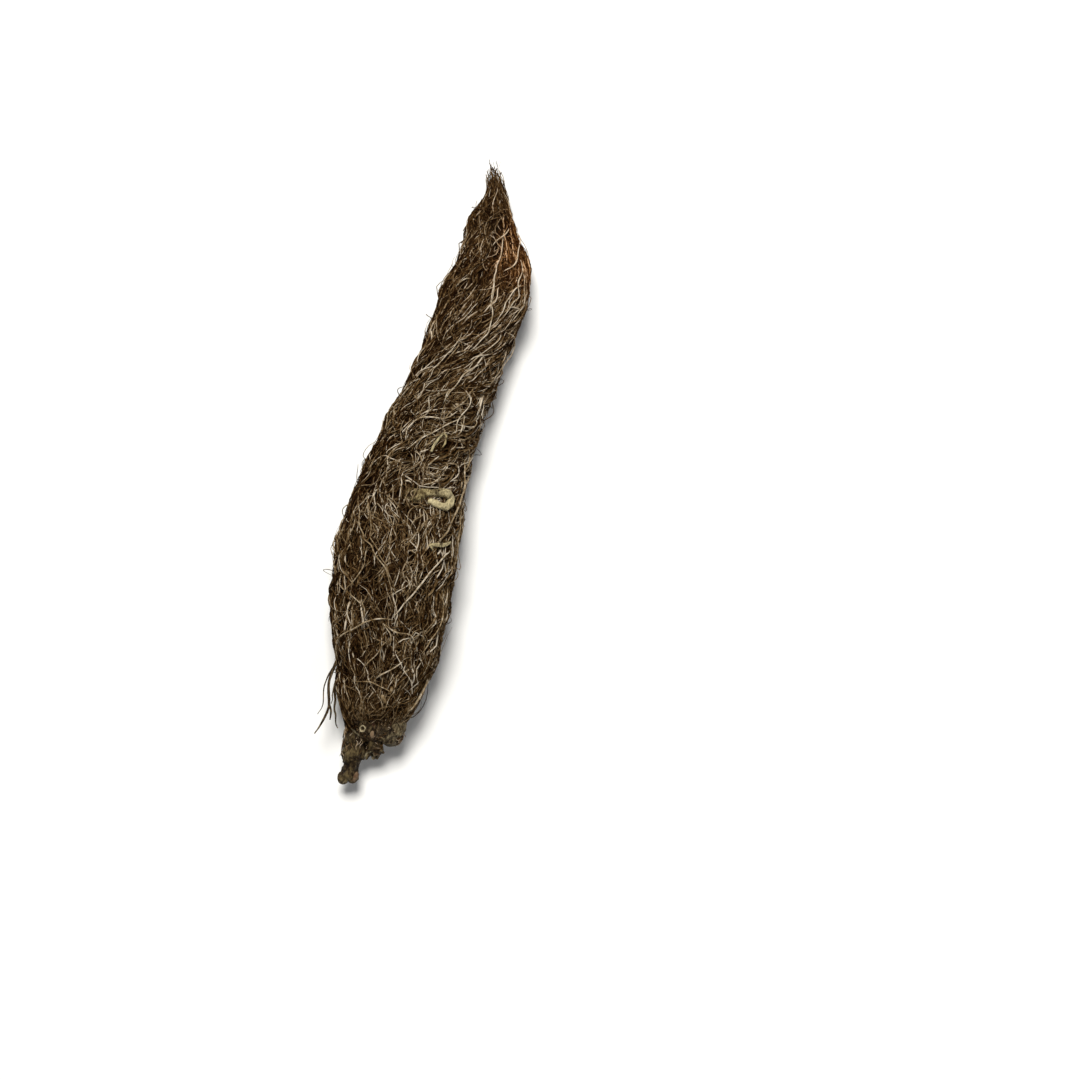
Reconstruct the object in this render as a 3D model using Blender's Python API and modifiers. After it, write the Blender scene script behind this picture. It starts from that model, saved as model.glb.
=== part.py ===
"""A dried jatamansi root lying on its flattened underside, in metres with +Z up.

The woody broken end points to -Y and the tufted neck to +Y. Places on the root
are given in millimetres: x across, y as the distance from the broken tip, z up
from the surface it lies on. One empty carries every piece, and its location puts
the middle of the whole root over the world's origin.
"""
import math

import bmesh
import bpy
import numpy as np
from mathutils import Matrix, Vector
from mathutils.bvhtree import BVHTree

MM = 0.001
GAP = 0.3                      # clear space kept between neighbouring pieces
PLACEMENT_MARGIN = 0.02        # added to the gap where a rootlet follows the coat
LIFT_STEP = 0.02               # step by which a rootlet is lifted clear of the coat
ABOVE_ROOT = 40.0              # a height above every piece, from which to look down

# Middle of the whole root, which the empty moves over the origin
MIDDLE_X = 0.526
MIDDLE_Y = 52.376

# Fibre coat: y, middle in x, half width, underside height before it is pressed flat
COAT_STATIONS = [
    (9.5, 1.9, 4.4, 1.3),
    (14.0, 2.1, 6.2, 0.4),
    (20.0, 1.8, 7.9, -0.4),
    (27.0, 0.8, 9.7, -1.0),
    (34.0, -0.2, 10.3, -1.2),
    (42.0, -0.4, 9.9, -1.2),
    (50.0, -0.4, 8.9, -1.1),
    (58.0, 0.3, 8.0, -1.0),
    (66.0, 1.8, 7.2, -0.9),
    (74.0, 2.8, 7.0, -0.9),
    (82.0, 4.1, 7.4, -0.9),
    (87.0, 4.4, 6.9, -0.7),
    (91.0, 4.2, 5.4, -0.2),
    (95.0, 3.4, 3.9, 0.6),
    (98.0, 2.6, 2.1, 1.5),
]
COAT_SIDES = 10
COAT_THICKNESS_RATIO = 0.85    # height of a section over its width
CAGE_SHRINK = 0.935            # a ten-sided ring smooths to this share of its radius
LUMP = 0.035                   # lumps on the coat, as a share of its radius

# Wisps that end the neck: x, y, z, radius at each point
NECK_WISPS = {
    "left_wisp": [
        (1.6, 87.0, 4.4, 1.9), (1.3, 95.0, 3.8, 1.5), (0.6, 99.5, 3.1, 0.9), (-0.5, 103.0, 2.6, 0.45),
    ],
    "middle_wisp": [
        (3.2, 89.0, 4.4, 2.0), (2.8, 96.5, 3.9, 1.6), (2.0, 101.0, 3.3, 0.9), (1.2, 104.6, 2.7, 0.45),
    ],
    "right_wisp": [
        (5.8, 87.0, 4.4, 1.9), (5.4, 94.0, 3.9, 1.5), (4.3, 98.5, 3.2, 0.9), (3.4, 102.4, 2.8, 0.45),
    ],
}

# Openings between the strands of the right shoulder: x, y, half length
SHOULDER_GAPS = [(5.8, 94.6, 1.3), (3.9, 92.6, 1.0)]
SHOULDER_GAP_HALF_WIDTH = 0.5
SHOULDER_GAP_DEPTH = 1.4

# Woody rhizome: x, y, z, radius at each point
CROWN = [(2.2, 8.4, 5.0, 2.5), (2.1, 11.0, 5.2, 3.3), (1.9, 15.0, 5.4, 3.3), (1.6, 19.5, 5.4, 2.2)]
MAIN_STUB = [
    (0.05, 0.5, 3.5, 1.25), (0.15, 1.8, 3.6, 1.4), (0.2, 2.8, 3.7, 1.3),
    (-0.05, 4.3, 3.9, 1.7), (-0.1, 6.0, 4.1, 1.75), (0.2, 8.0, 4.4, 1.9), (1.0, 11.5, 4.9, 1.8),
]
SIDE_STUB = [(3.7, 5.4, 4.0, 1.65), (3.4, 6.6, 4.2, 1.5), (3.1, 8.2, 4.5, 1.5), (2.7, 11.0, 5.0, 1.7)]
LOW_STUB = [(6.2, 7.3, 3.6, 1.2), (6.0, 8.4, 3.8, 1.95), (5.3, 10.4, 4.3, 2.1), (3.6, 13.6, 5.0, 2.0)]
TIP_BULBS = [(-0.75, 0.95, 3.6, 0.92), (0.75, 1.05, 3.5, 0.85)]
SIDE_STUB_NOTCHES = [(3.2, 4.9, 5.3, 0.75), (4.3, 4.6, 3.2, 0.6)]
KNOB_HEIGHT = 0.12             # height of the knobs on the bark
KNOB_PITCH = 2.4               # distance from knob to knob

# Broken rootlet standing on the crown: foot, tip, outer and inner radius, bore depth
SCAR_FOOT = (1.3, 10.0, 6.6)
SCAR_TIP = (0.95, 9.0, 8.9)
SCAR_RADIUS = 0.55
SCAR_BORE_RADIUS = 0.26
SCAR_BORE_DEPTH = 1.0

# Rootlets lying on the coat: x, y, radius at each point
CURLED_ROOTLET = [
    (-1.4, 48.8, 0.70), (0.3, 50.0, 0.72), (1.8, 50.9, 0.68), (3.4, 51.4, 0.64),
    (5.0, 51.5, 0.60), (6.2, 51.1, 0.58), (6.8, 50.1, 0.58), (6.5, 48.8, 0.60),
    (5.6, 48.1, 0.62), (4.3, 48.3, 0.60), (3.0, 48.9, 0.50),
]
FOLDED_ROOTLET = [
    (1.4, 57.0, 0.30), (1.7, 58.6, 0.28), (2.2, 59.8, 0.26), (2.9, 60.5, 0.25),
    (3.5, 60.0, 0.25), (3.4, 59.0, 0.25), (3.2, 58.0, 0.22),
]
HOOKED_ROOTLET = [(4.8, 41.3, 0.24), (5.0, 42.1, 0.30), (6.3, 42.4, 0.32), (7.8, 43.3, 0.26)]

# Rootlets hanging clear of the coat at the left of the stub: x, y, z, radius
LEFT_ROOTLET_LONG = [
    (-6.2, 18.6, 6.4, 0.26), (-6.7, 15.0, 6.2, 0.24), (-5.9, 11.4, 6.0, 0.22),
    (-6.0, 9.6, 5.8, 0.20), (-7.0, 7.6, 5.6, 0.17),
]
LEFT_ROOTLET_SHORT = [
    (-5.6, 17.8, 4.9, 0.24), (-5.9, 14.4, 4.8, 0.22), (-5.0, 11.2, 4.6, 0.20), (-4.2, 9.4, 4.4, 0.17),
]

STEPS_PER_SPAN = 4             # points of a tube between two of its listed points
SMOOTH_ANGLE = math.radians(40.0)


def clear_objects():
    """Empties the file of objects."""
    for old in list(bpy.data.objects):
        bpy.data.objects.remove(old, do_unlink=True)


def make_collection(name):
    """Adds a collection under the scene's own."""
    group = bpy.data.collections.new(name)
    bpy.context.scene.collection.children.link(group)
    return group


def make_material(name, colour, roughness):
    """Makes a plain Principled material with no metal in it."""
    material = bpy.data.materials.new(name)
    material.use_nodes = True
    shader = material.node_tree.nodes["Principled BSDF"]
    shader.inputs["Base Color"].default_value = (*colour, 1.0)
    shader.inputs["Roughness"].default_value = roughness
    shader.inputs["Metallic"].default_value = 0.0
    return material


def add_object(name, mesh, group, parent):
    """Links a mesh under a name and hangs it on the root's empty."""
    thing = bpy.data.objects.new(name, mesh)
    group.objects.link(thing)
    thing.parent = parent
    return thing


def hide_as_cutter(thing):
    """Marks an object as one that only cuts or joins others."""
    thing.hide_render = True
    thing.display_type = "WIRE"


def add_boolean(target, tool, operation):
    """Joins a tool to a target, or cuts it away, with exact arithmetic."""
    modifier = target.modifiers.new(f"{operation.lower()}_{tool.name}", "BOOLEAN")
    modifier.operation = operation
    modifier.solver = "EXACT"
    modifier.object = tool


def join_and_cut(target, joined, cut, cutters, parent):
    """Joins the first set of named meshes to a target, then cuts the second set away."""
    for shapes, operation in ((joined, "UNION"), (cut, "DIFFERENCE")):
        for name, mesh in shapes.items():
            tool = add_object(name, mesh, cutters, parent)
            hide_as_cutter(tool)
            add_boolean(target, tool, operation)


def smooth_route(points, steps=STEPS_PER_SPAN):
    """Reads a Catmull-Rom curve through the points, every column alike."""
    route = np.array(points, dtype=float)
    ends = np.vstack([2 * route[0] - route[1], route, 2 * route[-1] - route[-2]])
    places = []
    for span in range(len(route) - 1):
        before, start, end, after = ends[span:span + 4]
        for share in np.arange(steps) / steps:
            places.append(0.5 * (
                2 * start
                + (end - before) * share
                + (2 * before - 5 * start + 4 * end - after) * share ** 2
                + (3 * start - before - 3 * end + after) * share ** 3
            ))
    places.append(route[-1])
    return np.array(places)


def tube_mesh(name, route, bevel_resolution=2):
    """Turns a bevelled curve with filled caps into one welded mesh.

    Each row of the route holds x, y, z and the tube's radius, in millimetres.
    """
    curve = bpy.data.curves.new(name, "CURVE")
    curve.dimensions = "3D"
    curve.bevel_depth = MM
    curve.bevel_resolution = bevel_resolution
    curve.use_fill_caps = True
    spline = curve.splines.new("POLY")
    spline.points.add(len(route) - 1)
    for point, (x, y, z, radius) in zip(spline.points, route):
        point.co = (x * MM, y * MM, z * MM, 1.0)
        point.radius = radius
    guide = bpy.data.objects.new(f"{name}_curve", curve)
    bpy.context.scene.collection.objects.link(guide)
    evaluated = guide.evaluated_get(bpy.context.evaluated_depsgraph_get())
    mesh = bpy.data.meshes.new_from_object(evaluated)
    mesh.name = name
    mesh.transform(guide.matrix_world)
    bpy.data.objects.remove(guide, do_unlink=True)

    shape = bmesh.new()
    shape.from_mesh(mesh)
    bmesh.ops.remove_doubles(shape, verts=shape.verts, dist=0.001 * MM)
    bmesh.ops.recalc_face_normals(shape, faces=shape.faces)
    shape.to_mesh(mesh)
    shape.free()
    return mesh


def add_knobs(mesh):
    """Raises low knobs on bark: two crossed sine waves along each vertex normal."""
    wave = 2 * math.pi / (KNOB_PITCH * MM)
    moves = []
    for vertex in mesh.vertices:
        x, y, z = vertex.co
        height = math.sin(wave * y + 1.3) * math.cos(wave * x) + 0.6 * math.sin(wave * z + 0.7 * wave * y)
        moves.append(vertex.normal * (KNOB_HEIGHT * MM * height))
    for vertex, move in zip(mesh.vertices, moves):
        vertex.co += move


def bark_tube(name, points, grow=0.0):
    """Makes a knobbly woody tube, fatter and longer by grow where it serves as a cutter."""
    route = smooth_route(points)
    route[:, 3] += grow
    for end, inner in ((0, 1), (-1, -2)):
        outward = route[end, :3] - route[inner, :3]
        route[end, :3] += 1.5 * grow * outward / np.linalg.norm(outward)
    mesh = tube_mesh(name, route, bevel_resolution=3)
    add_knobs(mesh)
    return mesh


def ball_mesh(name, centre, radii):
    """Makes a ball stretched to the three radii, in millimetres."""
    shape = bmesh.new()
    bmesh.ops.create_uvsphere(shape, u_segments=12, v_segments=8, radius=1.0)
    bmesh.ops.scale(shape, verts=shape.verts, vec=Vector(radii) * MM)
    bmesh.ops.translate(shape, verts=shape.verts, vec=Vector(centre) * MM)
    mesh = bpy.data.meshes.new(name)
    shape.to_mesh(mesh)
    shape.free()
    return mesh


def coat_cage():
    """Bends a cylinder of ten sides into the coat: one ring of it for each station."""
    shape = bmesh.new()
    bmesh.ops.create_cone(shape, cap_ends=True, segments=COAT_SIDES, radius1=1.0, radius2=1.0, depth=1.0)
    long_edges = [edge for edge in shape.edges if abs(edge.verts[0].co.z - edge.verts[1].co.z) > 0.5]
    bmesh.ops.subdivide_edges(shape, edges=long_edges, cuts=len(COAT_STATIONS) - 2)
    for vertex in shape.verts:
        ring = round((vertex.co.z + 0.5) * (len(COAT_STATIONS) - 1))
        y, middle, half_width, underside = COAT_STATIONS[ring]
        turn = math.atan2(vertex.co.y, vertex.co.x)
        lumps = math.sin(3 * turn + 0.45 * y) + 0.7 * math.sin(2 * turn - 0.27 * y)
        reach = (1.0 + LUMP * lumps) / CAGE_SHRINK
        half_height = half_width * COAT_THICKNESS_RATIO
        x = middle + half_width * reach * math.cos(turn)
        z = underside + half_height + half_height * reach * math.sin(turn)
        vertex.co = Vector((x, y, z)) * MM
    bmesh.ops.recalc_face_normals(shape, faces=shape.faces)
    mesh = bpy.data.meshes.new("fibre_coat")
    shape.to_mesh(mesh)
    shape.free()
    return mesh


def floor_block():
    """Makes the block whose flat top presses the coat's underside flat."""
    shape = bmesh.new()
    size = Matrix.Diagonal((60 * MM, 140 * MM, 10 * MM, 1.0))
    place = Matrix.Translation(Vector((MIDDLE_X, MIDDLE_Y, -5.0)) * MM)
    bmesh.ops.create_cube(shape, size=1.0, matrix=place @ size)
    mesh = bpy.data.meshes.new("floor_block")
    shape.to_mesh(mesh)
    shape.free()
    return mesh


def build_rhizome(parts, cutters, parent, bark):
    """Joins the crown, its three stubs and the broken rootlet into one woody solid."""
    rhizome = add_object("rhizome", bark_tube("rhizome", CROWN), parts, parent)
    rhizome.data.materials.append(bark)
    joined = {
        "main_stub": bark_tube("main_stub", MAIN_STUB),
        "side_stub": bark_tube("side_stub", SIDE_STUB),
        "low_stub": bark_tube("low_stub", LOW_STUB),
    }
    for number, (x, y, z, radius) in enumerate(TIP_BULBS, 1):
        joined[f"tip_bulb_{number}"] = ball_mesh(f"tip_bulb_{number}", (x, y, z), (radius, radius, radius))
    scar_route = np.array([(*SCAR_FOOT, SCAR_RADIUS), (*SCAR_TIP, SCAR_RADIUS)])
    joined["broken_rootlet"] = tube_mesh("broken_rootlet", scar_route)

    bore_way = (Vector(SCAR_FOOT) - Vector(SCAR_TIP)).normalized()
    bore_start = Vector(SCAR_TIP) - bore_way
    bore_end = Vector(SCAR_TIP) + bore_way * SCAR_BORE_DEPTH
    bore_route = np.array([(*bore_start, SCAR_BORE_RADIUS), (*bore_end, SCAR_BORE_RADIUS)])
    cut = {"broken_rootlet_bore": tube_mesh("broken_rootlet_bore", bore_route)}
    for number, (x, y, z, radius) in enumerate(SIDE_STUB_NOTCHES, 1):
        cut[f"side_stub_notch_{number}"] = ball_mesh(
            f"side_stub_notch_{number}", (x, y, z), (radius, 1.4 * radius, radius))

    join_and_cut(rhizome, joined, cut, cutters, parent)
    return rhizome


def build_coat(parts, cutters, parent, fibre):
    """Builds the fibre body, its wisps, its flat underside and its socket for the rhizome."""
    coat = add_object("fibre_coat", coat_cage(), parts, parent)
    coat.data.materials.append(fibre)
    smoothing = coat.modifiers.new("smooth_cage", "SUBSURF")
    smoothing.levels = 2
    smoothing.render_levels = 2

    joined = {name: tube_mesh(name, smooth_route(points)) for name, points in NECK_WISPS.items()}
    cut = {"floor_block": floor_block()}
    sockets = {"crown": CROWN, "main_stub": MAIN_STUB, "side_stub": SIDE_STUB, "low_stub": LOW_STUB}
    for name, points in sockets.items():
        cut[f"{name}_socket"] = bark_tube(f"{name}_socket", points, GAP)
    scar_socket = np.array([(*SCAR_FOOT, SCAR_RADIUS + GAP), (*SCAR_TIP, SCAR_RADIUS + GAP)])
    scar_socket[1, :3] += 1.5 * (scar_socket[1, :3] - scar_socket[0, :3])
    cut["broken_rootlet_socket"] = tube_mesh("broken_rootlet_socket", scar_socket)
    join_and_cut(coat, joined, cut, cutters, parent)
    return coat


def coat_surface(coat):
    """Gives a search tree of the finished coat, in the root's own frame."""
    bpy.context.view_layer.update()
    return BVHTree.FromObject(coat, bpy.context.evaluated_depsgraph_get())


def top_of_coat(tree, x, y):
    """Finds the coat's upper surface over a place, looking down from above the root."""
    return tree.ray_cast(Vector((x, y, ABOVE_ROOT)) * MM, Vector((0.0, 0.0, -1.0)))[0]


def cut_shoulder_gaps(coat, cutters, parent):
    """Sinks the narrow openings of the right shoulder into the coat's upper side."""
    tree = coat_surface(coat)
    gaps = {}
    for number, (x, y, half_length) in enumerate(SHOULDER_GAPS, 1):
        name = f"shoulder_gap_{number}"
        centre = (x, y, top_of_coat(tree, x, y).z / MM)
        gaps[name] = ball_mesh(name, centre, (SHOULDER_GAP_HALF_WIDTH, half_length, SHOULDER_GAP_DEPTH))
    join_and_cut(coat, {}, gaps, cutters, parent)


def lay_on_coat(points, tree):
    """Lifts a route of x, y and radius until the tube clears the coat by the gap."""
    route = []
    for x, y, radius in smooth_route(points):
        place = top_of_coat(tree, x, y)
        clear = (radius + GAP + PLACEMENT_MARGIN) * MM
        while tree.find_nearest(place)[3] < clear:
            place.z += LIFT_STEP * MM
        route.append((x, y, place.z / MM, radius))
    route = np.array(route)
    heights = route[:, 2].copy()
    for index in range(1, len(heights) - 1):
        route[index, 2] = max(heights[index], heights[index - 1:index + 2].mean())
    return route


def build_rootlets(parts, parent, tree, pale, dark):
    """Builds the rootlets that lie on the coat and the two that hang beside the stub."""
    routes = {
        "curled_rootlet": (lay_on_coat(CURLED_ROOTLET, tree), pale),
        "folded_rootlet": (lay_on_coat(FOLDED_ROOTLET, tree), pale),
        "hooked_rootlet": (lay_on_coat(HOOKED_ROOTLET, tree), pale),
        "left_rootlet_long": (smooth_route(LEFT_ROOTLET_LONG), dark),
        "left_rootlet_short": (smooth_route(LEFT_ROOTLET_SHORT), dark),
    }
    rootlets = []
    for name, (route, material) in routes.items():
        rootlet = add_object(name, tube_mesh(name, route), parts, parent)
        rootlet.data.materials.append(material)
        rootlets.append(rootlet)
    return rootlets


def shade(things):
    """Shades the finished pieces smooth, with creases at steep edges."""
    for thing in things:
        thing.data.shade_smooth()
        thing.data.set_sharp_from_angle(angle=SMOOTH_ANGLE)


def build():
    """Builds the whole root."""
    clear_objects()
    parts = make_collection("jatamansi_root")
    cutters = make_collection("cutters")
    parent = bpy.data.objects.new("root_frame", None)
    parent.location = (-MIDDLE_X * MM, -MIDDLE_Y * MM, 0.0)
    parts.objects.link(parent)

    bark = make_material("dark_bark", (0.075, 0.045, 0.022), 0.75)
    fibre = make_material("brown_fibre", (0.095, 0.060, 0.032), 0.85)
    pale = make_material("pale_rootlet", (0.34, 0.25, 0.12), 0.7)
    dark = make_material("dark_rootlet", (0.10, 0.065, 0.035), 0.8)

    rhizome = build_rhizome(parts, cutters, parent, bark)
    coat = build_coat(parts, cutters, parent, fibre)
    cut_shoulder_gaps(coat, cutters, parent)
    rootlets = build_rootlets(parts, parent, coat_surface(coat), pale, dark)
    shade([rhizome, coat, *rootlets])


build()
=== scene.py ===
"""The looks of a dried jatamansi root that lies on a pale surface.

Lengths in this script are in millimetres until a mesh is written, when they become
metres. A place on the root is given by its distance from the broken tip along the
root, its turn around the root (0 at the right side, a quarter turn at the top) and
its lift above the coat's outer surface. A place that is seen from above is given by
its distance along the root and its distance across it, positive to the right. Places that
were read off the picture go through from_picture, which allows for their height.
"""
import math

import bpy
import numpy as np
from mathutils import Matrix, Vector


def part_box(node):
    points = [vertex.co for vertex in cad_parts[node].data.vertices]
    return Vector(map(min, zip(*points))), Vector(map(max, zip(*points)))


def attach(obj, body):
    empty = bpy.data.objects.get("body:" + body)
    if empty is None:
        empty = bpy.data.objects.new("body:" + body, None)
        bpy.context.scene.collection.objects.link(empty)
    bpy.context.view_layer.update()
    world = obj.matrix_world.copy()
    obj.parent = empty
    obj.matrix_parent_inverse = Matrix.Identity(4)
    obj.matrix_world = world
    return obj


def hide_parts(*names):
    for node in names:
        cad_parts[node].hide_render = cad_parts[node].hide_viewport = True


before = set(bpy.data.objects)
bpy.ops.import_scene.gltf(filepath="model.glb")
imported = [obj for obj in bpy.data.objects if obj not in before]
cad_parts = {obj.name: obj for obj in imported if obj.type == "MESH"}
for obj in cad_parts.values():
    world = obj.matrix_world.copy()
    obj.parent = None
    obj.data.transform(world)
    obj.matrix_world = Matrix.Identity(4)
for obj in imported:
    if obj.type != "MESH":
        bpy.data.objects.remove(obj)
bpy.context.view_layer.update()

MM = 0.001
SEED = 4117
WOOD_SEED = SEED + 2
QUARTER = math.pi / 2
FULL_TURN = 2 * math.pi

# The root's own axis in the frame: the broken tip, and the line that the routes are drawn from
TIP_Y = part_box("rhizome")[0].y / MM
AXIS_X = -0.526
ROOT_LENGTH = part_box("fibre_coat")[1].y / MM - TIP_Y

# The part of the root's length that the fibre coat covers. Its fibres fray out lower at the left
# than on top, and end at different lengths on the neck.
COAT_START = 9.6
COAT_END = 97.0
FRAY_LEFT = 8.4
FRAY_TOP = 11.2
FRAY_RIGHT = 9.8
FRAY_SPREAD = 0.7
NECK_LIMIT = (93.0, 99.5)

# Depth of the felt under the fibres, and the gap that fibres keep to the floor
FELT_DEPTH = 0.8
FLOOR_CLEARANCE = 0.03

# The picture is 1080 pixels square. The broken tip and the neck end lie at these pixels of it, and
# this many millimetres apart, at these heights, on the line that the routes are drawn from.
PICTURE = 1080.0
TIP_PIXEL = (345.0, 785.0)
NECK_PIXEL = (487.0, 175.0)
NECK_ALONG = 104.04
TIP_HEIGHT = 3.6
NECK_HEIGHT = 2.9
CAMERA_ELEVATION = math.radians(80.0)
CAMERA_LENS = 85.0
SENSOR = 36.0
FOCAL = PICTURE * CAMERA_LENS / SENSOR

# How many times the camera's aim is put right, and a line of sight is cut at the coat's height
AIM_ROUNDS = 12
SIGHT_ROUNDS = 5

# Openings between the fibres: distance along, distance across, half length, half width
HOLLOWS = [
    (94.9, 5.9, 1.7, 0.60), (91.9, 4.5, 1.5, 0.50), (86.0, 0.2, 1.5, 0.40), (98.8, 1.85, 1.2, 0.45),
    (55.0, -2.4, 0.9, 0.70), (52.2, -1.2, 0.8, 0.8), (48.3, 0.8, 0.45, 1.1), (49.6, 4.3, 0.35, 0.9),
    (61.5, 6.2, 1.6, 0.45), (47.0, 7.6, 1.5, 0.45), (69.0, -1.0, 1.6, 0.40), (57.5, 3.6, 0.8, 0.5),
    (15.4, 6.4, 1.3, 0.70), (24.0, 3.6, 1.4, 0.40), (33.0, -4.5, 1.6, 0.45),
    (40.5, 2.2, 1.3, 0.45), (76.5, 2.6, 1.8, 0.40), (43.0, -6.8, 1.5, 0.50),
]


# Small numpy helpers

WAVE_WEIGHTS = (0.6, 0.35, 0.25)


def rows(vectors):
    """Length of each vector in an array whose last axis holds x, y and z."""
    return np.sqrt((vectors ** 2).sum(-1, keepdims=True))


def unit(vectors):
    """Each vector divided by its length."""
    return vectors / np.maximum(rows(vectors), 1e-9)


def ramp(value, start, end):
    """Rises smoothly from 0 at start to 1 at end."""
    share = np.clip((value - start) / (end - start), 0.0, 1.0)
    return share * share * (3.0 - 2.0 * share)


def within(value, start, full, fading, end):
    """Rises smoothly from 0 at start to 1 at full, and falls back from fading to end."""
    return ramp(value, start, full) * (1.0 - ramp(value, fading, end))


def towards_ends(share, power):
    """A power of the distance from a strand's middle: 0 there, and 1 at both its ends."""
    return np.abs(2 * share - 1) ** power


def waves(rng, count, steps, shortest, longest, lengths):
    """Smooth random curves, one a row: three sine waves with random phases, unit size.

    The wavelengths lie between shortest and longest, in the same unit as the lengths.
    """
    share = np.linspace(0.0, 1.0, steps)[None, :]
    total = np.zeros((count, steps))
    for weight in WAVE_WEIGHTS:
        wavelength = rng.uniform(shortest, longest, (count, 1))
        phase = rng.uniform(0.0, FULL_TURN, (count, 1))
        total += weight * np.sin(FULL_TURN * lengths[:, None] * share / wavelength + phase)
    return total


def patches(rng, share, around, cells, cells_around):
    """Smooth random field from -1 to 1 over two parameters, closed around the second.

    Random heights at the corners of a lattice, blended by an ease curve inside each cell.
    """
    heights = rng.uniform(-1.0, 1.0, (cells + 2, cells_around))
    place = np.clip(share, 0.0, 1.0) * cells
    spot = (around % 1.0) * cells_around
    row, column = place.astype(int), spot.astype(int)
    down, right = ramp(place - row, 0.0, 1.0), ramp(spot - column, 0.0, 1.0)
    column = column % cells_around
    beside = (column + 1) % cells_around
    first = heights[row, column] * (1 - right) + heights[row, beside] * right
    second = heights[row + 1, column] * (1 - right) + heights[row + 1, beside] * right
    return first * (1 - down) + second * down


def smooth_route(points, steps):
    """A smooth curve through a route's points: each span is a cubic between two points.

    A point's slope is half the step between its two neighbours, so the spans join smoothly.
    """
    points = np.asarray(points, float)
    padded = np.vstack([2 * points[0] - points[1], points, 2 * points[-1] - points[-2]])
    place = np.linspace(0.0, len(points) - 1.0, steps)
    span = np.minimum(place.astype(int), len(points) - 2)
    s = (place - span)[:, None]
    before, start, end, after = (padded[span + shift] for shift in range(4))
    slope_start, slope_end = (end - before) / 2, (after - start) / 2
    return (
        (2 * s ** 3 - 3 * s ** 2 + 1) * start + (s ** 3 - 2 * s ** 2 + s) * slope_start
        + (3 * s ** 2 - 2 * s ** 3) * end + (s ** 3 - s ** 2) * slope_end
    )


def in_frame(route, steps):
    """A route given as (across, along, height, radius), smoothed: its points in the frame and its radii."""
    smooth = smooth_route(route, steps)
    return smooth[:, :3] + np.array([AXIS_X, TIP_Y, 0.0]), smooth[:, 3]


# The coat's outer surface, read from the frame

STATION_COUNT = 60
STATION_REACH = 1.7


def read_sections():
    """Reads the coat's sections from its solid: middle, half width, underside and top by length.

    The solid's vertices near each station give the lowest and highest x and z there, and a
    short running mean smooths them.
    """
    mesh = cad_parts["fibre_coat"].data
    places = np.empty(len(mesh.vertices) * 3)
    mesh.vertices.foreach_get("co", places)
    places = places.reshape(-1, 3) / MM
    along = places[:, 1] - TIP_Y
    stations = np.linspace(COAT_START, ROOT_LENGTH, STATION_COUNT)
    limits = []
    for station in stations:
        near = places[np.abs(along - station) < STATION_REACH]
        limits.append((near[:, 0].min(), near[:, 0].max(), near[:, 2].min(), near[:, 2].max()))
    limits = np.array(limits)
    padded = np.vstack([limits[:1], limits, limits[-1:]])
    limits = (padded[:-2] + padded[1:-1] + padded[2:]) / 3.0
    return stations, limits


STATIONS, LIMITS = read_sections()
MIDDLE_HEIGHT = 0.46           # a section's widest level, as a share of its height
FRAY_SHRINK = 0.09             # how much a section narrows per millimetre below the coat's start
OUTLINE_SINK = 0.30            # how far inside its outline the coat's middle surface lies
OUTLINE_SHIFT = 1.1            # how much farther along its outline shows than it lies, past the belly
OUTLINE_SHIFT_SPAN = (12.0, 45.0)
LEFT_SINK = 0.55               # how much further inside it lies on the left
LEFT_SINK_SPAN = (10.0, 18.0)
UNDERSIDE_FULLNESS = 1.12      # how much fuller the underside is before the floor presses it flat
LOOSE_SHARE = 0.10             # share of its lift that a fibre keeps off the floor
PICTURE_LEVEL = 8.0            # height at which a line of sight is first cut


def section(along):
    """Middle x, half width, widest level, half heights up and down of the coat at a length.

    Below the coat's start the sections narrow steadily, so that frayed fibres hug the crown.
    """
    shown = along + OUTLINE_SHIFT * ramp(along, *OUTLINE_SHIFT_SPAN)
    left, right, low, high = (np.interp(shown, STATIONS, LIMITS[:, column]) for column in range(4))
    left = left + LEFT_SINK * ramp(along, *LEFT_SINK_SPAN)
    level = low + (high - low) * MIDDLE_HEIGHT
    narrow = 1.0 - FRAY_SHRINK * np.clip(COAT_START + 0.3 - along, 0.0, 5.0)
    middle = (left + right) / 2
    half_width = narrow * (right - left) / 2
    return middle, half_width, level, narrow * (high - level), narrow * (level - low)


def lumps(along, turn):
    """Low lumps of the matted coat in millimetres: sine waves crossed along and around it."""
    return (
        0.12 * np.sin(3 * turn + 0.30 * along)
        + 0.14 * np.sin(5 * turn - 0.55 * along + 1.0)
        + 0.10 * np.sin(2 * turn + 0.83 * along + 2.2)
        + 0.07 * np.sin(9 * turn + 1.7 * along + 0.6)
    )


def on_coat(along, turn, lift, thick=0.0):
    """Point of the coat at a length, a turn and a lift, pressed flat where it meets the floor.

    The section is an ellipse, flatter below its widest level than above it. A strand stays
    above the floor by its own thickness.
    """
    middle, half_width, level, up, down = section(along)
    reach = lift - OUTLINE_SINK + lumps(along, turn)
    rise = np.sin(turn)
    half_height = np.where(rise > 0.0, up, down * UNDERSIDE_FULLNESS)
    x = middle + (half_width + reach) * np.cos(turn)
    z = level + (half_height + reach) * rise
    z = np.maximum(z, FLOOR_CLEARANCE + thick + LOOSE_SHARE * np.abs(lift))
    return np.stack([x, along + TIP_Y, z], -1)


def girth_radius(along):
    """Mean radius of the coat at a length."""
    _, half_width, _, up, down = section(along)
    return 0.5 * half_width + 0.25 * (up + down)


def turn_at(along, across):
    """Turn of the coat's upper side at a distance along and across the root."""
    middle, half_width, _, _, _ = section(along)
    return np.arccos(np.clip((across + AXIS_X - middle) / half_width, -1.0, 1.0))


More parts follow.
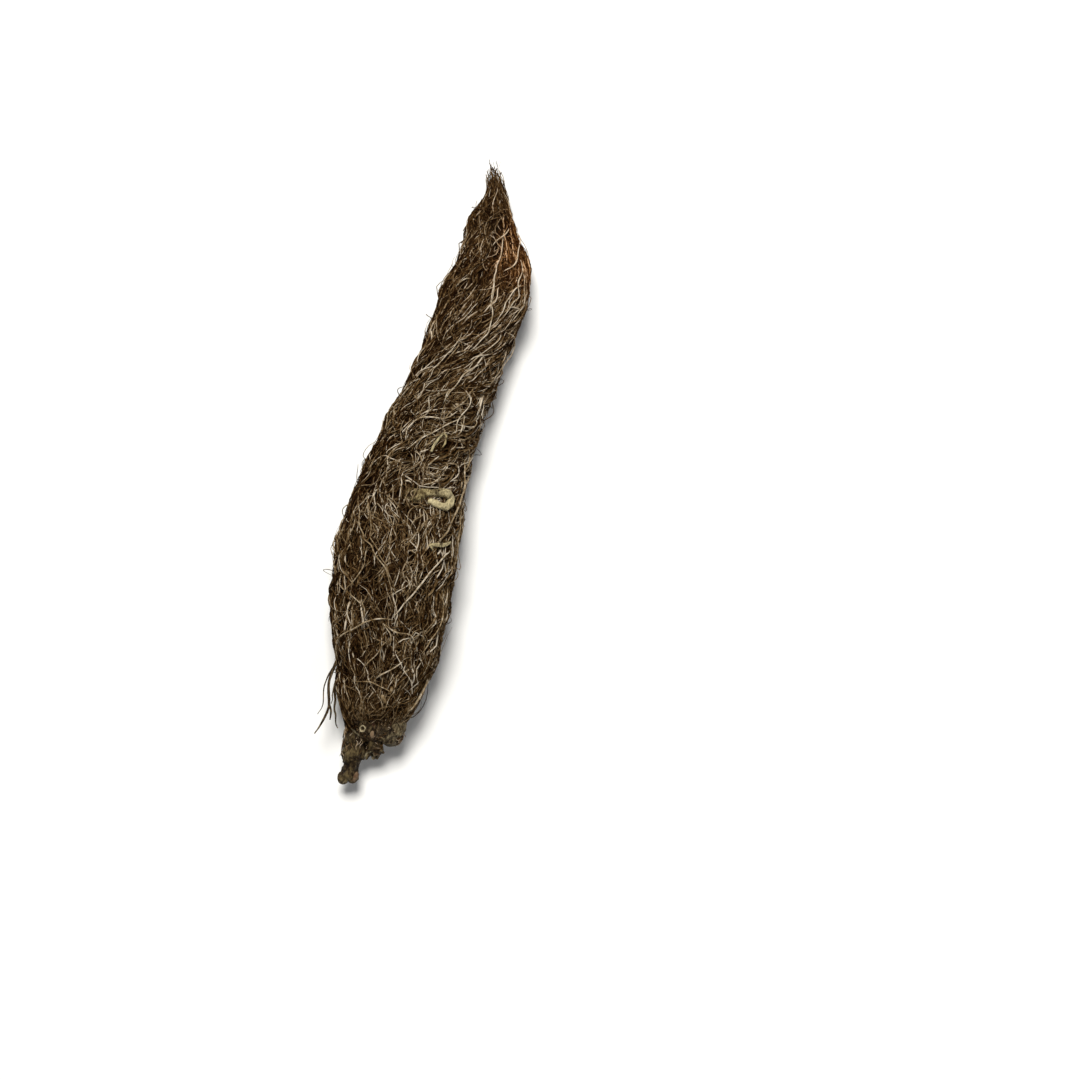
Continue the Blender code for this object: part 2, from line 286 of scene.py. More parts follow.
def aim_camera():
    """Place and turn of a camera that sees tip and neck at the photograph's pixels.

    It starts square on the middle of the picture. Then its azimuth, distance and target are
    put right a few times by how far the two ends still are from their pixels, because the
    nearer end shows larger than the farther one.
    """
    ends = (
        Vector((AXIS_X, TIP_Y, TIP_HEIGHT)),
        Vector((AXIS_X, TIP_Y + NECK_ALONG, NECK_HEIGHT)),
    )
    wanted = Vector(NECK_PIXEL) - Vector(TIP_PIXEL)
    wanted_middle = (Vector(NECK_PIXEL) + Vector(TIP_PIXEL)) / 2
    azimuth = math.atan2(wanted.x, -wanted.y)
    distance = (ends[1] - ends[0]).length / wanted.length * FOCAL
    target = (ends[0] + ends[1]) / 2
    for _ in range(AIM_ROUNDS):
        back = Vector((
            math.sin(azimuth) * math.cos(CAMERA_ELEVATION),
            -math.cos(azimuth) * math.cos(CAMERA_ELEVATION),
            math.sin(CAMERA_ELEVATION),
        ))
        turn = (-back).to_track_quat("-Z", "Y")
        place = target + back * distance
        seen = []
        for end in ends:
            view = turn.inverted() @ (end - place)
            seen.append(Vector((
                PICTURE / 2 - FOCAL * view.x / view.z,
                PICTURE / 2 + FOCAL * view.y / view.z,
            )))
        shown = seen[1] - seen[0]
        azimuth += math.atan2(wanted.x, -wanted.y) - math.atan2(shown.x, -shown.y)
        distance *= shown.length / wanted.length
        miss = (seen[0] + seen[1]) / 2 - wanted_middle
        right = turn @ Vector((1.0, 0.0, 0.0))
        above = turn @ Vector((0.0, 1.0, 0.0))
        target += (right * miss.x - above * miss.y) * distance / FOCAL
    return place, turn


CAMERA_PLACE, CAMERA_TURN = aim_camera()


def from_picture(along, across):
    """Place on the coat's top of a point read off the picture.

    Along and across are measured on the picture itself, from the tip's pixel towards the
    neck's. The line of sight through that pixel is followed to the coat: it is cut at the
    coat's height where it was cut before, a few times over.
    """
    wanted = np.array(NECK_PIXEL) - np.array(TIP_PIXEL)
    scale = np.hypot(*wanted) / NECK_ALONG
    towards = wanted / np.hypot(*wanted)
    pixel_x = TIP_PIXEL[0] + scale * (along * towards[0] - across * towards[1])
    pixel_y = TIP_PIXEL[1] + scale * (along * towards[1] + across * towards[0])
    sight = np.stack([pixel_x - PICTURE / 2, PICTURE / 2 - pixel_y, 0.0 * pixel_x - FOCAL], -1)
    sight = sight @ np.array(CAMERA_TURN.to_matrix()).T
    height = 0.0 * along + PICTURE_LEVEL
    for _ in range(SIGHT_ROUNDS):
        reach = (height - CAMERA_PLACE.z) / sight[..., 2]
        across = CAMERA_PLACE.x + reach * sight[..., 0] - AXIS_X
        along = CAMERA_PLACE.y + reach * sight[..., 1] - TIP_Y
        height = on_coat(along, turn_at(along, across), 0.0)[..., 2]
    return along, across


def part_fibres(along, turn):
    """Parts the fibres round each hollow: a fibre inside it moves sideways by a bell curve's height."""
    for centre, across, half_length, half_width in HOLLOWS:
        centre, across = from_picture(np.array(centre), np.array(across))
        facing = turn_at(centre, across)
        reach = half_width / girth_radius(centre)
        sideways = (turn - facing) / reach
        inside = np.exp(-(((along - centre) / half_length) ** 2 + 0.5 * sideways ** 2))
        turn = turn + np.where(sideways < 0.0, -1.0, 1.0) * reach * inside
    return turn


# Meshes

def show(thing):
    """Puts an object into the scene."""
    bpy.context.scene.collection.objects.link(thing)


def make_object(name, vertices, faces, material, values=None, map_places=None):
    """Makes a closed mesh from vertices in millimetres, with its attributes and its own map."""
    mesh = bpy.data.meshes.new(name)
    vertices = np.asarray(vertices, float).reshape(-1, 3) * MM
    mesh.vertices.add(len(vertices))
    mesh.vertices.foreach_set("co", vertices.ravel())
    corners = np.concatenate([np.asarray(part).ravel() for part in faces])
    sizes = np.concatenate([np.full(len(part), np.shape(part)[1]) for part in faces])
    mesh.loops.add(len(corners))
    mesh.loops.foreach_set("vertex_index", corners.astype(np.int32))
    mesh.polygons.add(len(sizes))
    starts = np.concatenate([[0], np.cumsum(sizes)[:-1]])
    mesh.polygons.foreach_set("loop_start", starts.astype(np.int32))
    mesh.polygons.foreach_set("loop_total", sizes.astype(np.int32))
    mesh.polygons.foreach_set("use_smooth", np.full(len(sizes), True))
    mesh.update(calc_edges=True)
    for key, value in (values or {}).items():
        attribute = mesh.attributes.new(key, "FLOAT", "POINT")
        attribute.data.foreach_set("value", np.asarray(value, np.float32).ravel())
    if map_places is not None:
        layer = mesh.uv_layers.new(name="OFBake")
        layer.data.foreach_set("uv", np.asarray(map_places, np.float32).ravel())
    mesh.validate()
    mesh.materials.append(material)
    piece = bpy.data.objects.new(name, mesh)
    show(piece)
    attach(piece, "root")
    return piece


def carry_rings(paths, radii, outward, sides, flat=1.0):
    """Carries a regular polygon along many paths at once.

    paths is strands by steps by three, radii strands by steps, or by steps by sides for an
    uneven skin. Each section is turned so that one corner points outward. flat squashes the
    section in that direction.
    """
    tangent = unit(np.gradient(paths, axis=1))
    side = unit(np.cross(tangent, outward))
    up = np.cross(side, tangent)
    angles = FULL_TURN * np.arange(sides) / sides + QUARTER
    ring = (
        np.cos(angles)[None, None, :, None] * side[:, :, None, :]
        + flat * np.sin(angles)[None, None, :, None] * up[:, :, None, :]
    )
    if radii.ndim == 2:
        radii = radii[:, :, None]
    return paths[:, :, None, :] + radii[..., None] * ring


def ring_faces(count, steps, sides):
    """Quads between each strand's rings, and the two polygons that close its ends."""
    base = (np.arange(count) * steps * sides)[:, None, None]
    step = (np.arange(steps - 1) * sides)[None, :, None]
    corner = np.arange(sides)[None, None, :]
    after = (corner + 1) % sides
    quads = np.stack([
        base + step + corner, base + step + after,
        base + step + sides + after, base + step + sides + corner,
    ], -1)
    start = (np.arange(count) * steps * sides)[:, None]
    first = start + np.arange(sides)[::-1][None, :]
    last = start + (steps - 1) * sides + np.arange(sides)[None, :]
    return [quads.reshape(-1, 4), np.concatenate([first, last])]


# The strips of a map: how many times wider than high a cell is, and a strip's edges, its width and
# height and the zigzag at its ends as shares of its cell
CELL_WIDTH = 3.0
STRIP_LEFT = 0.08
STRIP_LOW = 0.12
STRIP_WIDTH = 0.84
STRIP_HEIGHT = 0.76
STRIP_NOTCH = 0.04


def strip_map(count, steps, sides):
    """Gives each strand its own small strip of the map: its length across, its girth up.

    The strips fill a grid of cells. The corners of a strand's two ends lie in a zigzag beside
    its strip, so that no end is squeezed to nothing.
    """
    columns = max(1, math.ceil(math.sqrt(count / CELL_WIDTH)))
    lines = math.ceil(count / columns)
    cell = np.arange(count)
    left = (cell % columns + STRIP_LEFT)[:, None, None] / columns
    low = (cell // columns + STRIP_LOW)[:, None, None] / lines
    wide, high = STRIP_WIDTH / columns, STRIP_HEIGHT / lines
    step = np.arange(steps - 1)[None, :, None]
    corner = np.arange(sides)[None, None, :]
    u0 = left + wide * step / (steps - 1) + 0 * corner
    u1 = left + wide * (step + 1) / (steps - 1) + 0 * corner
    v0 = low + high * corner / sides + 0 * step
    v1 = low + high * (corner + 1) / sides + 0 * step
    quads = np.stack([
        np.stack([u0, v0], -1), np.stack([u0, v1], -1),
        np.stack([u1, v1], -1), np.stack([u1, v0], -1),
    ], -2)
    around = np.arange(sides)
    notch = STRIP_NOTCH / columns * (around % 2)
    middle_v = low[:, 0] + high * (around[::-1] + 0.5) / sides
    first = np.stack([np.repeat(left[:, 0], sides, 1) - notch, middle_v], -1)
    middle_v = low[:, 0] + high * (around + 0.5) / sides
    last = np.stack([np.repeat(left[:, 0] + wide, sides, 1) + notch, middle_v], -1)
    return np.concatenate([quads.reshape(-1, 2), first.reshape(-1, 2), last.reshape(-1, 2)])


def strand_object(name, paths, radii, outward, values, material, sides=3, flat=1.0):
    """Makes one piece of many strands. Each value is given by strand, or by strand and step."""
    count, steps = radii.shape[:2]
    vertices = carry_rings(paths, radii, outward, sides, flat)
    vertices[..., 2] = np.maximum(vertices[..., 2], FLOOR_CLEARANCE)
    spread = {}
    for key, value in values.items():
        value = np.asarray(value, float)
        while value.ndim < 3:
            value = value[..., None]
        spread[key] = np.broadcast_to(value, (count, steps, sides))
    return make_object(
        name, vertices, ring_faces(count, steps, sides), material, spread, strip_map(count, steps, sides)
    )


def close_ends(path, radii):
    """Rounds a strand's two ends: the radius follows a circle over its last radius of length."""
    step = rows(np.diff(path, axis=0))[:, 0]
    run = np.concatenate([[0.0], np.cumsum(step)])
    reach = np.minimum(run, run[-1] - run)
    share = np.clip(reach / np.maximum(radii, 1e-6), 0.0, 1.0)
    return radii * np.sqrt(np.maximum(1.0 - (1.0 - share) ** 2, 0.0004))


# Fibres that grow over the coat

# Parts of the coat by length along the root: each begins, is full, begins to fade and ends there
BELLY = (11.0, 24.0, 43.0, 52.0)
MIDDLE = (42.0, 51.0, 60.0, 68.0)
UPPER = (60.0, 68.0, 78.0, 90.0)
SHOULDER = (81.0, 89.0, 96.0, 101.0)

# How far the fibres of each part lean, how much more on the right side, and how much disorder
# each part adds to that of the whole coat, all in degrees
BELLY_LEAN = 4.0
BELLY_FAN = 13.0
MIDDLE_LEAN = 34.0
MIDDLE_FAN = 14.0
UPPER_LEAN = 20.0
UPPER_FAN = 8.0
DISORDER = 7.0
BELLY_DISORDER = 8.0
MIDDLE_DISORDER = 24.0
UPPER_DISORDER = 5.0
LOWER_END_DISORDER = 12.0

# The two sets of fibres on the belly cross at this angle either way, and this share leans right
CROSS_ANGLE = 17.0
CROSS_SHARE = 0.45

# How far whole tufts turn together, in degrees, and the cells of the field that turns them
TUFT_SWING = 20.0
TUFT_CELLS = (15, 8)

# Wavelengths of a path's sway, and the two shares of a range that never fall into a pattern
SWAY_WAVES = (3.5, 12.0)
EVEN_STEPS = (0.7548777, 0.5698403)
EVEN_JITTER = 0.35

# How strongly a fibre that passes the lower edge, or the neck's end, is folded back
FOLD_LOWER = 0.7
FOLD_NECK = 0.6


def lean(along, turn, rng):
    """Angle of the fibres from the root's length, by place, in radians; positive leans left.

    Near the stub the fibres run along the root. On the belly they fan outwards and two sets
    cross like a net. In the middle they turn across the root to the right, above it they
    sweep up to the right, and on the neck they run along it again. A random field turns
    whole tufts together, and each tuft adds its own share of disorder.
    """
    right = np.cos(turn)
    belly = within(along, *BELLY)
    middle = within(along, *MIDDLE)
    upper = within(along, *UPPER)
    crossing = np.where(rng.random(along.shape) < CROSS_SHARE, -CROSS_ANGLE, CROSS_ANGLE)
    degrees = belly * (BELLY_LEAN - BELLY_FAN * right + crossing)
    degrees += middle * (-MIDDLE_LEAN - MIDDLE_FAN * right)
    degrees += upper * (-UPPER_LEAN - UPPER_FAN * right)
    degrees += TUFT_SWING * patches(rng, along / ROOT_LENGTH, turn / FULL_TURN, *TUFT_CELLS)
    spread = DISORDER + BELLY_DISORDER * belly + MIDDLE_DISORDER * middle + UPPER_DISORDER * upper
    spread = spread + LOWER_END_DISORDER * (1.0 - ramp(along, 13.0, 22.0))
    degrees += spread * rng.standard_normal(along.shape)
    return np.radians(degrees)


def grow(rng, starts, turns, lengths, angles, steps, bend, wander):
    """Walks many paths over the coat at once: each step adds its heading to length and turn.

    The heading starts at each path's angle, and a steady bend and three sine waves turn it.
    Returns length, turn and heading at every step.
    """
    stride = (lengths / (steps - 1))[:, None]
    share = np.linspace(-0.5, 0.5, steps)[None, :]
    sway = waves(rng, len(starts), steps, *SWAY_WAVES, lengths)
    heading = angles[:, None] + bend[:, None] * share + wander * sway
    along = starts[:, None] + np.cumsum(np.cos(heading) * stride, 1)
    along -= (along[:, -1:] - starts[:, None]) / 2
    around = np.cumsum(np.sin(heading) * stride / girth_radius(along), 1)
    turn = turns[:, None] + around - around[:, -1:] / 2
    return along, turn, heading


def keep_within(rng, along, turn):
    """Folds back what passes the frayed lower edge or the neck, each strand at its own limit.

    The lower limit goes by the strand's side: from the top's value to the left's or the right's.
    """
    side = np.cos(turn.mean(1, keepdims=True))
    low = FRAY_TOP + np.abs(side) * (np.where(side < 0.0, FRAY_LEFT, FRAY_RIGHT) - FRAY_TOP)
    low = low + rng.normal(0.0, FRAY_SPREAD, (len(along), 1))
    high = rng.uniform(*NECK_LIMIT, (len(along), 1))
    along = np.where(along < low, (1 + FOLD_LOWER) * low - FOLD_LOWER * along, along)
    return np.where(along > high, (1 + FOLD_NECK) * high - FOLD_NECK * along, along)


def outward_of(turn):
    """Direction straight out of the coat at each turn."""
    return np.stack([np.cos(turn), 0 * turn, np.sin(turn)], -1)


def spread_evenly(rng, count, first, second):
    """Places over two ranges, evenly spread but without rows: each next one is a fixed step on.

    The steps are fixed shares of the two ranges, and a place that passes the end of a range
    wraps round to its start. A small random jitter is added.
    """
    order = np.arange(count)
    start = rng.random(2)
    jitter = rng.normal(0.0, EVEN_JITTER / math.sqrt(count), (2, count))
    share = (start[0] + EVEN_STEPS[0] * order + jitter[0]) % 1.0
    other = (start[1] + EVEN_STEPS[1] * order + jitter[1]) % 1.0
    return first[0] + (first[1] - first[0]) * share, second[0] + (second[1] - second[0]) * other


# What the fibres of every layer share: their shape first, then their tone, where 0 is the
# darkest and 1 the palest
UNDERSIDE_RISE = -0.4          # bundles whose turn has a lower sine lie underneath
CURL_TIMES = 5.0               # how much more a curly bundle bends
BEND_LIMIT = 3.2
BUNDLE_WAVES = (5.0, 18.0)     # wavelengths at which a bundle's fibres swing from side to side
BUNDLE_SPREAD = 0.6
SHIFT_SPREAD = 0.12            # how far a fibre slips along its bundle, as a share of its length
DIVE_DEPTHS = (0.4, 1.1)
WEAVE_WAVES = (3.5, 9.0)
NECK_SINK = 0.55               # how much lower fibres lie on the neck and at the lower end, and
NECK_SINK_SPAN = (90.0, 98.0)  # the lengths between which that starts and is full
LOWER_END_SINK = 0.30
LOWER_END_SINK_SPAN = (9.0, 13.5)
DEPTH_SHADE_LIMIT = 0.5             # lifts beyond this change a fibre's tone no more
RADIUS_LIMITS = (0.045, 0.24)
END_THINNING = 0.6
UNEVENNESS = 0.18
LOWER_END_THICK = 0.78         # share of its thickness that a fibre has near the lower end
LOWER_END_REGAIN = 0.22        # and the rest of it, which it regains over this span
LOWER_END_THICK_SPAN = (12.0, 22.0)
UNEVEN_WAVES = (2.0, 6.0)
FIBRE_TONE_SPREAD = 0.21
TONE_LIMIT = 0.75
PALE_TONES = (0.62, 1.05)      # tones of the few fibres that are paler than all the others
# Painted highlights: a fibre's tone swings along it, paler where a stretch of it would catch the light, at
# these wavelengths.
GLINT_TONE_SWING = 0.21
GLINT_TONE_WAVES = (1.4, 4.0)
# Painted shade and light: a fibre that lies deeper is painted darker and one that lies higher paler, for the
# shade between the layers.
DEPTH_SHADE_TONE = 0.64             # how much paler a fibre is for each millimetre that it lies higher
# Painted shade: fibres on the coat's left side are painted darker, as if shaded there.
LEFT_SIDE_SHADE = 0.26               # how much darker fibres are on the coat's left side, and from how
LEFT_SIDE_SHADE_SPAN = (0.3, 1.0)    # far to the left
LOWER_TONE_LIMIT = 0.60        # the palest that a fibre is at the lower end, and how fast that rises
LOWER_TONE_RISE = 0.9
LOWER_TONE_SPAN = (12.0, 18.0)


def lay_fibres(rng, layer):
    """Lays bundles of fibres over a span of the coat and returns their paths, radii and tones.

    Each bundle follows one walked path. Its fibres keep beside that path by an offset that
    swings slowly from side to side, so that they twist round each other. Each fibre weaves
    up and down and dives under at its two ends. Half of the bundles that would lie underneath
    are laid on top instead.
    """
    steps, bundle = layer["steps"], layer["bundle"]
    guides = layer["count"] // bundle
    starts, turns = spread_evenly(rng, guides, layer["span"], layer.get("turns", (-math.pi, math.pi)))
    beneath = (np.sin(turns) < UNDERSIDE_RISE) & (np.arange(guides) % 2 == 0)
    turns = np.where(beneath, -turns, turns)
    lengths = rng.uniform(*layer["length"], guides)
    angles = lean(starts, turns, rng)
    bends = layer["bend"] * rng.standard_normal(guides)
    bends = bends * np.where(rng.random(guides) < layer["curls"], CURL_TIMES, 1.0)
    bends = np.clip(bends, -BEND_LIMIT, BEND_LIMIT)
    along, turn, heading = grow(rng, starts, turns, lengths, angles, steps, bends, layer["wander"])

    member = np.repeat(np.arange(guides), bundle)
    total = len(member)
    share = np.linspace(0.0, 1.0, steps)[None, :]
    long = lengths[member]
    swinging = waves(rng, total, steps, *BUNDLE_WAVES, long)
    beside = layer["apart"] * (swinging + BUNDLE_SPREAD * rng.standard_normal((total, 1)))
    shift = rng.normal(0.0, SHIFT_SPREAD, (total, 1)) * long[:, None]
    facing = heading[member]
    along = along[member] - np.sin(facing) * beside + shift * np.cos(facing)
    around = np.cos(facing) * beside + shift * np.sin(facing)
    turn = turn[member] + around / girth_radius(along)
    outer = rng.uniform(*layer["lift"], (total, 1))
    dive = towards_ends(share, 4) * rng.uniform(*DIVE_DEPTHS, (total, 1))
    lift = outer - layer["dive"] * dive + layer["weave"] * waves(rng, total, steps, *WEAVE_WAVES, long)
    along = keep_within(rng, along, turn)
    lift = lift - NECK_SINK * ramp(along, *NECK_SINK_SPAN)
    height = np.clip(lift, -DEPTH_SHADE_LIMIT, DEPTH_SHADE_LIMIT)
    lift = lift - LOWER_END_SINK * (1.0 - ramp(along, *LOWER_END_SINK_SPAN))
    turn = part_fibres(along, turn)
    radii = rng.lognormal(math.log(layer["thickness"] / 2), layer["unlike"], (total, 1))
    radii = np.clip(radii, *RADIUS_LIMITS) * (1.0 - END_THINNING * towards_ends(share, 5))
    radii *= 1.0 + UNEVENNESS * waves(rng, total, steps, *UNEVEN_WAVES, long)
    radii *= LOWER_END_THICK + LOWER_END_REGAIN * ramp(along, *LOWER_END_THICK_SPAN)
    paths = on_coat(along, turn, lift, radii)
    tuft = rng.normal(layer["tone"], layer["tone_spread"], guides)[member]
    tone = np.clip(tuft + FIBRE_TONE_SPREAD * rng.standard_normal(total), 0.0, TONE_LIMIT)
    tone = np.where(rng.random(total) < layer["pale"], rng.uniform(*PALE_TONES, total), tone)
    # Painted shade on deep fibres and painted light on high ones.
    tone = tone[:, None] + DEPTH_SHADE_TONE * height
    # Painted highlights along each fibre.
    tone = tone + GLINT_TONE_SWING * waves(rng, total, steps, *GLINT_TONE_WAVES, long)
    # Painted shade on the coat's left side.
    tone = tone - LEFT_SIDE_SHADE * ramp(-np.cos(turn), *LEFT_SIDE_SHADE_SPAN)
    tone = np.minimum(tone, LOWER_TONE_LIMIT + LOWER_TONE_RISE * ramp(along, *LOWER_TONE_SPAN))
    return paths, radii, outward_of(turn), tone


# How warm the fibres are everywhere, how much warmer on the neck and on the right shoulder, and
# where these two begin and are full
LEAST_WARMTH = 0.06
NECK_WARMTH = 0.14
NECK_WARMTH_SPAN = (60.0, 84.0)
SHOULDER_WARMTH = 0.80
SHOULDER_ACROSS = (3.2, 6.5)


def warmth_at(paths):
    """How red the fibres are: most on the right shoulder, less on the neck, little elsewhere."""
    along = paths[..., 1] - TIP_Y
    across = paths[..., 0] - AXIS_X
    shoulder = within(along, *SHOULDER) * ramp(across, *SHOULDER_ACROSS)
    neck = ramp(along, *NECK_WARMTH_SPAN)
    return np.clip(LEAST_WARMTH + NECK_WARMTH * neck + SHOULDER_WARMTH * shoulder, 0.0, 1.0)


# Every layer of the coat: where it lies, how its tufts run and how dark they are
NET = {
    "bundle": 2, "bend": 0.7, "curls": 0.07, "wander": 0.40, "apart": 0.38, "weave": 0.24,
    "dive": 0.8, "thickness": 0.158, "unlike": 0.38, "steps": 9, "tone": 0.27, "tone_spread": 0.07,
    "pale": 0.13, "lift": (-0.46, 0.30),
}
LAYERS = [
    {**NET, "name": "coat_deep_fibres", "count": 2000, "span": (10.0, 96.0), "bundle": 5, "steps": 7,
     "length": (7.0, 14.0), "thickness": 0.32, "lift": (-0.90, -0.45), "tone": 0.36,
     "tone_spread": 0.08, "pale": 0.0, "weave": 0.15},
    {**NET, "name": "coat_lower_fibres", "count": 3890, "span": (9.5, 37.0), "length": (4.0, 11.0),
     "tone": 0.20, "pale": 0.11},
    {**NET, "name": "coat_middle_fibres", "count": 3890, "span": (36.5, 65.0), "length": (3.5, 10.0),
     "wander": 0.46, "curls": 0.12, "pale": 0.14, "tone": 0.24},
    {**NET, "name": "coat_upper_fibres", "count": 3890, "span": (64.5, 96.0), "length": (5.0, 12.0),
     "wander": 0.28, "curls": 0.04, "pale": 0.13, "tone": 0.15},
    {**NET, "name": "shoulder_fibres", "count": 500, "span": (82.0, 96.0), "length": (7.0, 15.0),
     "turns": (-0.5, 1.05), "wander": 0.20, "curls": 0.0, "bend": 0.35, "lift": (0.0, 0.36),
     "tone": -0.06, "tone_spread": 0.08, "pale": 0.08},
]


def build_fibres(rng, materials):
    """All the fibres of the coat, in pieces by depth and by part of the root."""
    for layer in LAYERS:
        paths, radii, outward, tone = lay_fibres(rng, layer)
        values = {"tone": tone, "warmth": warmth_at(paths)}
        piece = strand_object(layer["name"], paths, radii, outward, values, materials["fibre"])


# Number of straps, the least and the greatest half width, and thickness as a share of width
STRAP_COUNT = 200
STRAP_WIDTHS = (0.20, 0.46)
STRAP_FLAT = 0.18


def build_straps(rng, material):
    """Flat straps of torn leaf sheath: fibres' paths with a wide thin section and frayed edges."""
    sides = 6
    layer = {
        **NET, "count": STRAP_COUNT, "span": (12.0, 92.0), "length": (4.0, 12.0), "bundle": 1, "steps": 9,
        "bend": 0.5, "curls": 0.0, "wander": 0.16, "apart": 0.2, "weave": 0.10, "dive": 0.7,
        "lift": (-0.42, -0.02), "tone": 0.30, "tone_spread": 0.08, "pale": 0.0,
    }
    paths, radii, outward, tone = lay_fibres(rng, layer)
    count, steps = radii.shape
    share = np.linspace(0.0, 1.0, steps)[None, :]
    width = rng.uniform(*STRAP_WIDTHS, (count, 1)) * (1.0 - 0.85 * towards_ends(share, 3))
    width = width[:, :, None] * (1.0 + 0.12 * rng.standard_normal((count, steps, sides)))
    values = {"tone": tone, "warmth": warmth_at(paths)}
    piece = strand_object("sheath_straps", paths, width, outward, values, material, sides, STRAP_FLAT)


# Number of stray hairs, steps along each, how high they rise at most, their radii and tones
HAIR_COUNT = 460
HAIR_STEPS = 8
HAIR_RISE_LIMIT = 2.0
HAIR_RADII = (0.045, 0.085)
HAIR_TONES = (0.1, 0.95)


def build_hairs(rng, material):
    """Stray hairs that stand off the coat: short walked paths, half of them arched, half with a free tip.

    An arch rises by a half sine wave, and a free tip by a power of the share of the length.
    """
    count, steps = HAIR_COUNT, HAIR_STEPS
    starts = rng.uniform(12.0, 98.0, count)
    turns = rng.uniform(-0.9, math.pi + 0.9, count)
    lengths = rng.gamma(4.0, 1.1, count) + 1.0
    angles = lean(starts, turns, rng) + rng.normal(0.0, 0.9, count)
    bends = np.clip(rng.normal(0.0, 1.2, count), -2.0, 2.0)
    along, turn, _ = grow(rng, starts, turns, lengths, angles, steps, bends, 0.7)
    share = np.linspace(0.0, 1.0, steps)[None, :]
    rise = rng.gamma(1.2, 0.42, (count, 1))
    arch = np.where(rng.random((count, 1)) < 0.5, np.sin(math.pi * share), share ** 1.4)
    lift = 0.15 + np.minimum(rise, HAIR_RISE_LIMIT) * arch
    lift = lift + 0.08 * waves(rng, count, steps, 3.0, 8.0, lengths)
    radii = rng.uniform(*HAIR_RADII, (count, 1)) * (1.0 - 0.6 * share ** 3)
    paths = on_coat(along, turn, lift, radii)
    tone = np.clip(rng.normal(0.42, 0.2, count), *HAIR_TONES)
    values = {"tone": tone, "warmth": warmth_at(paths)}
    piece = strand_object("stray_hairs", paths, radii, outward_of(turn), values, material)


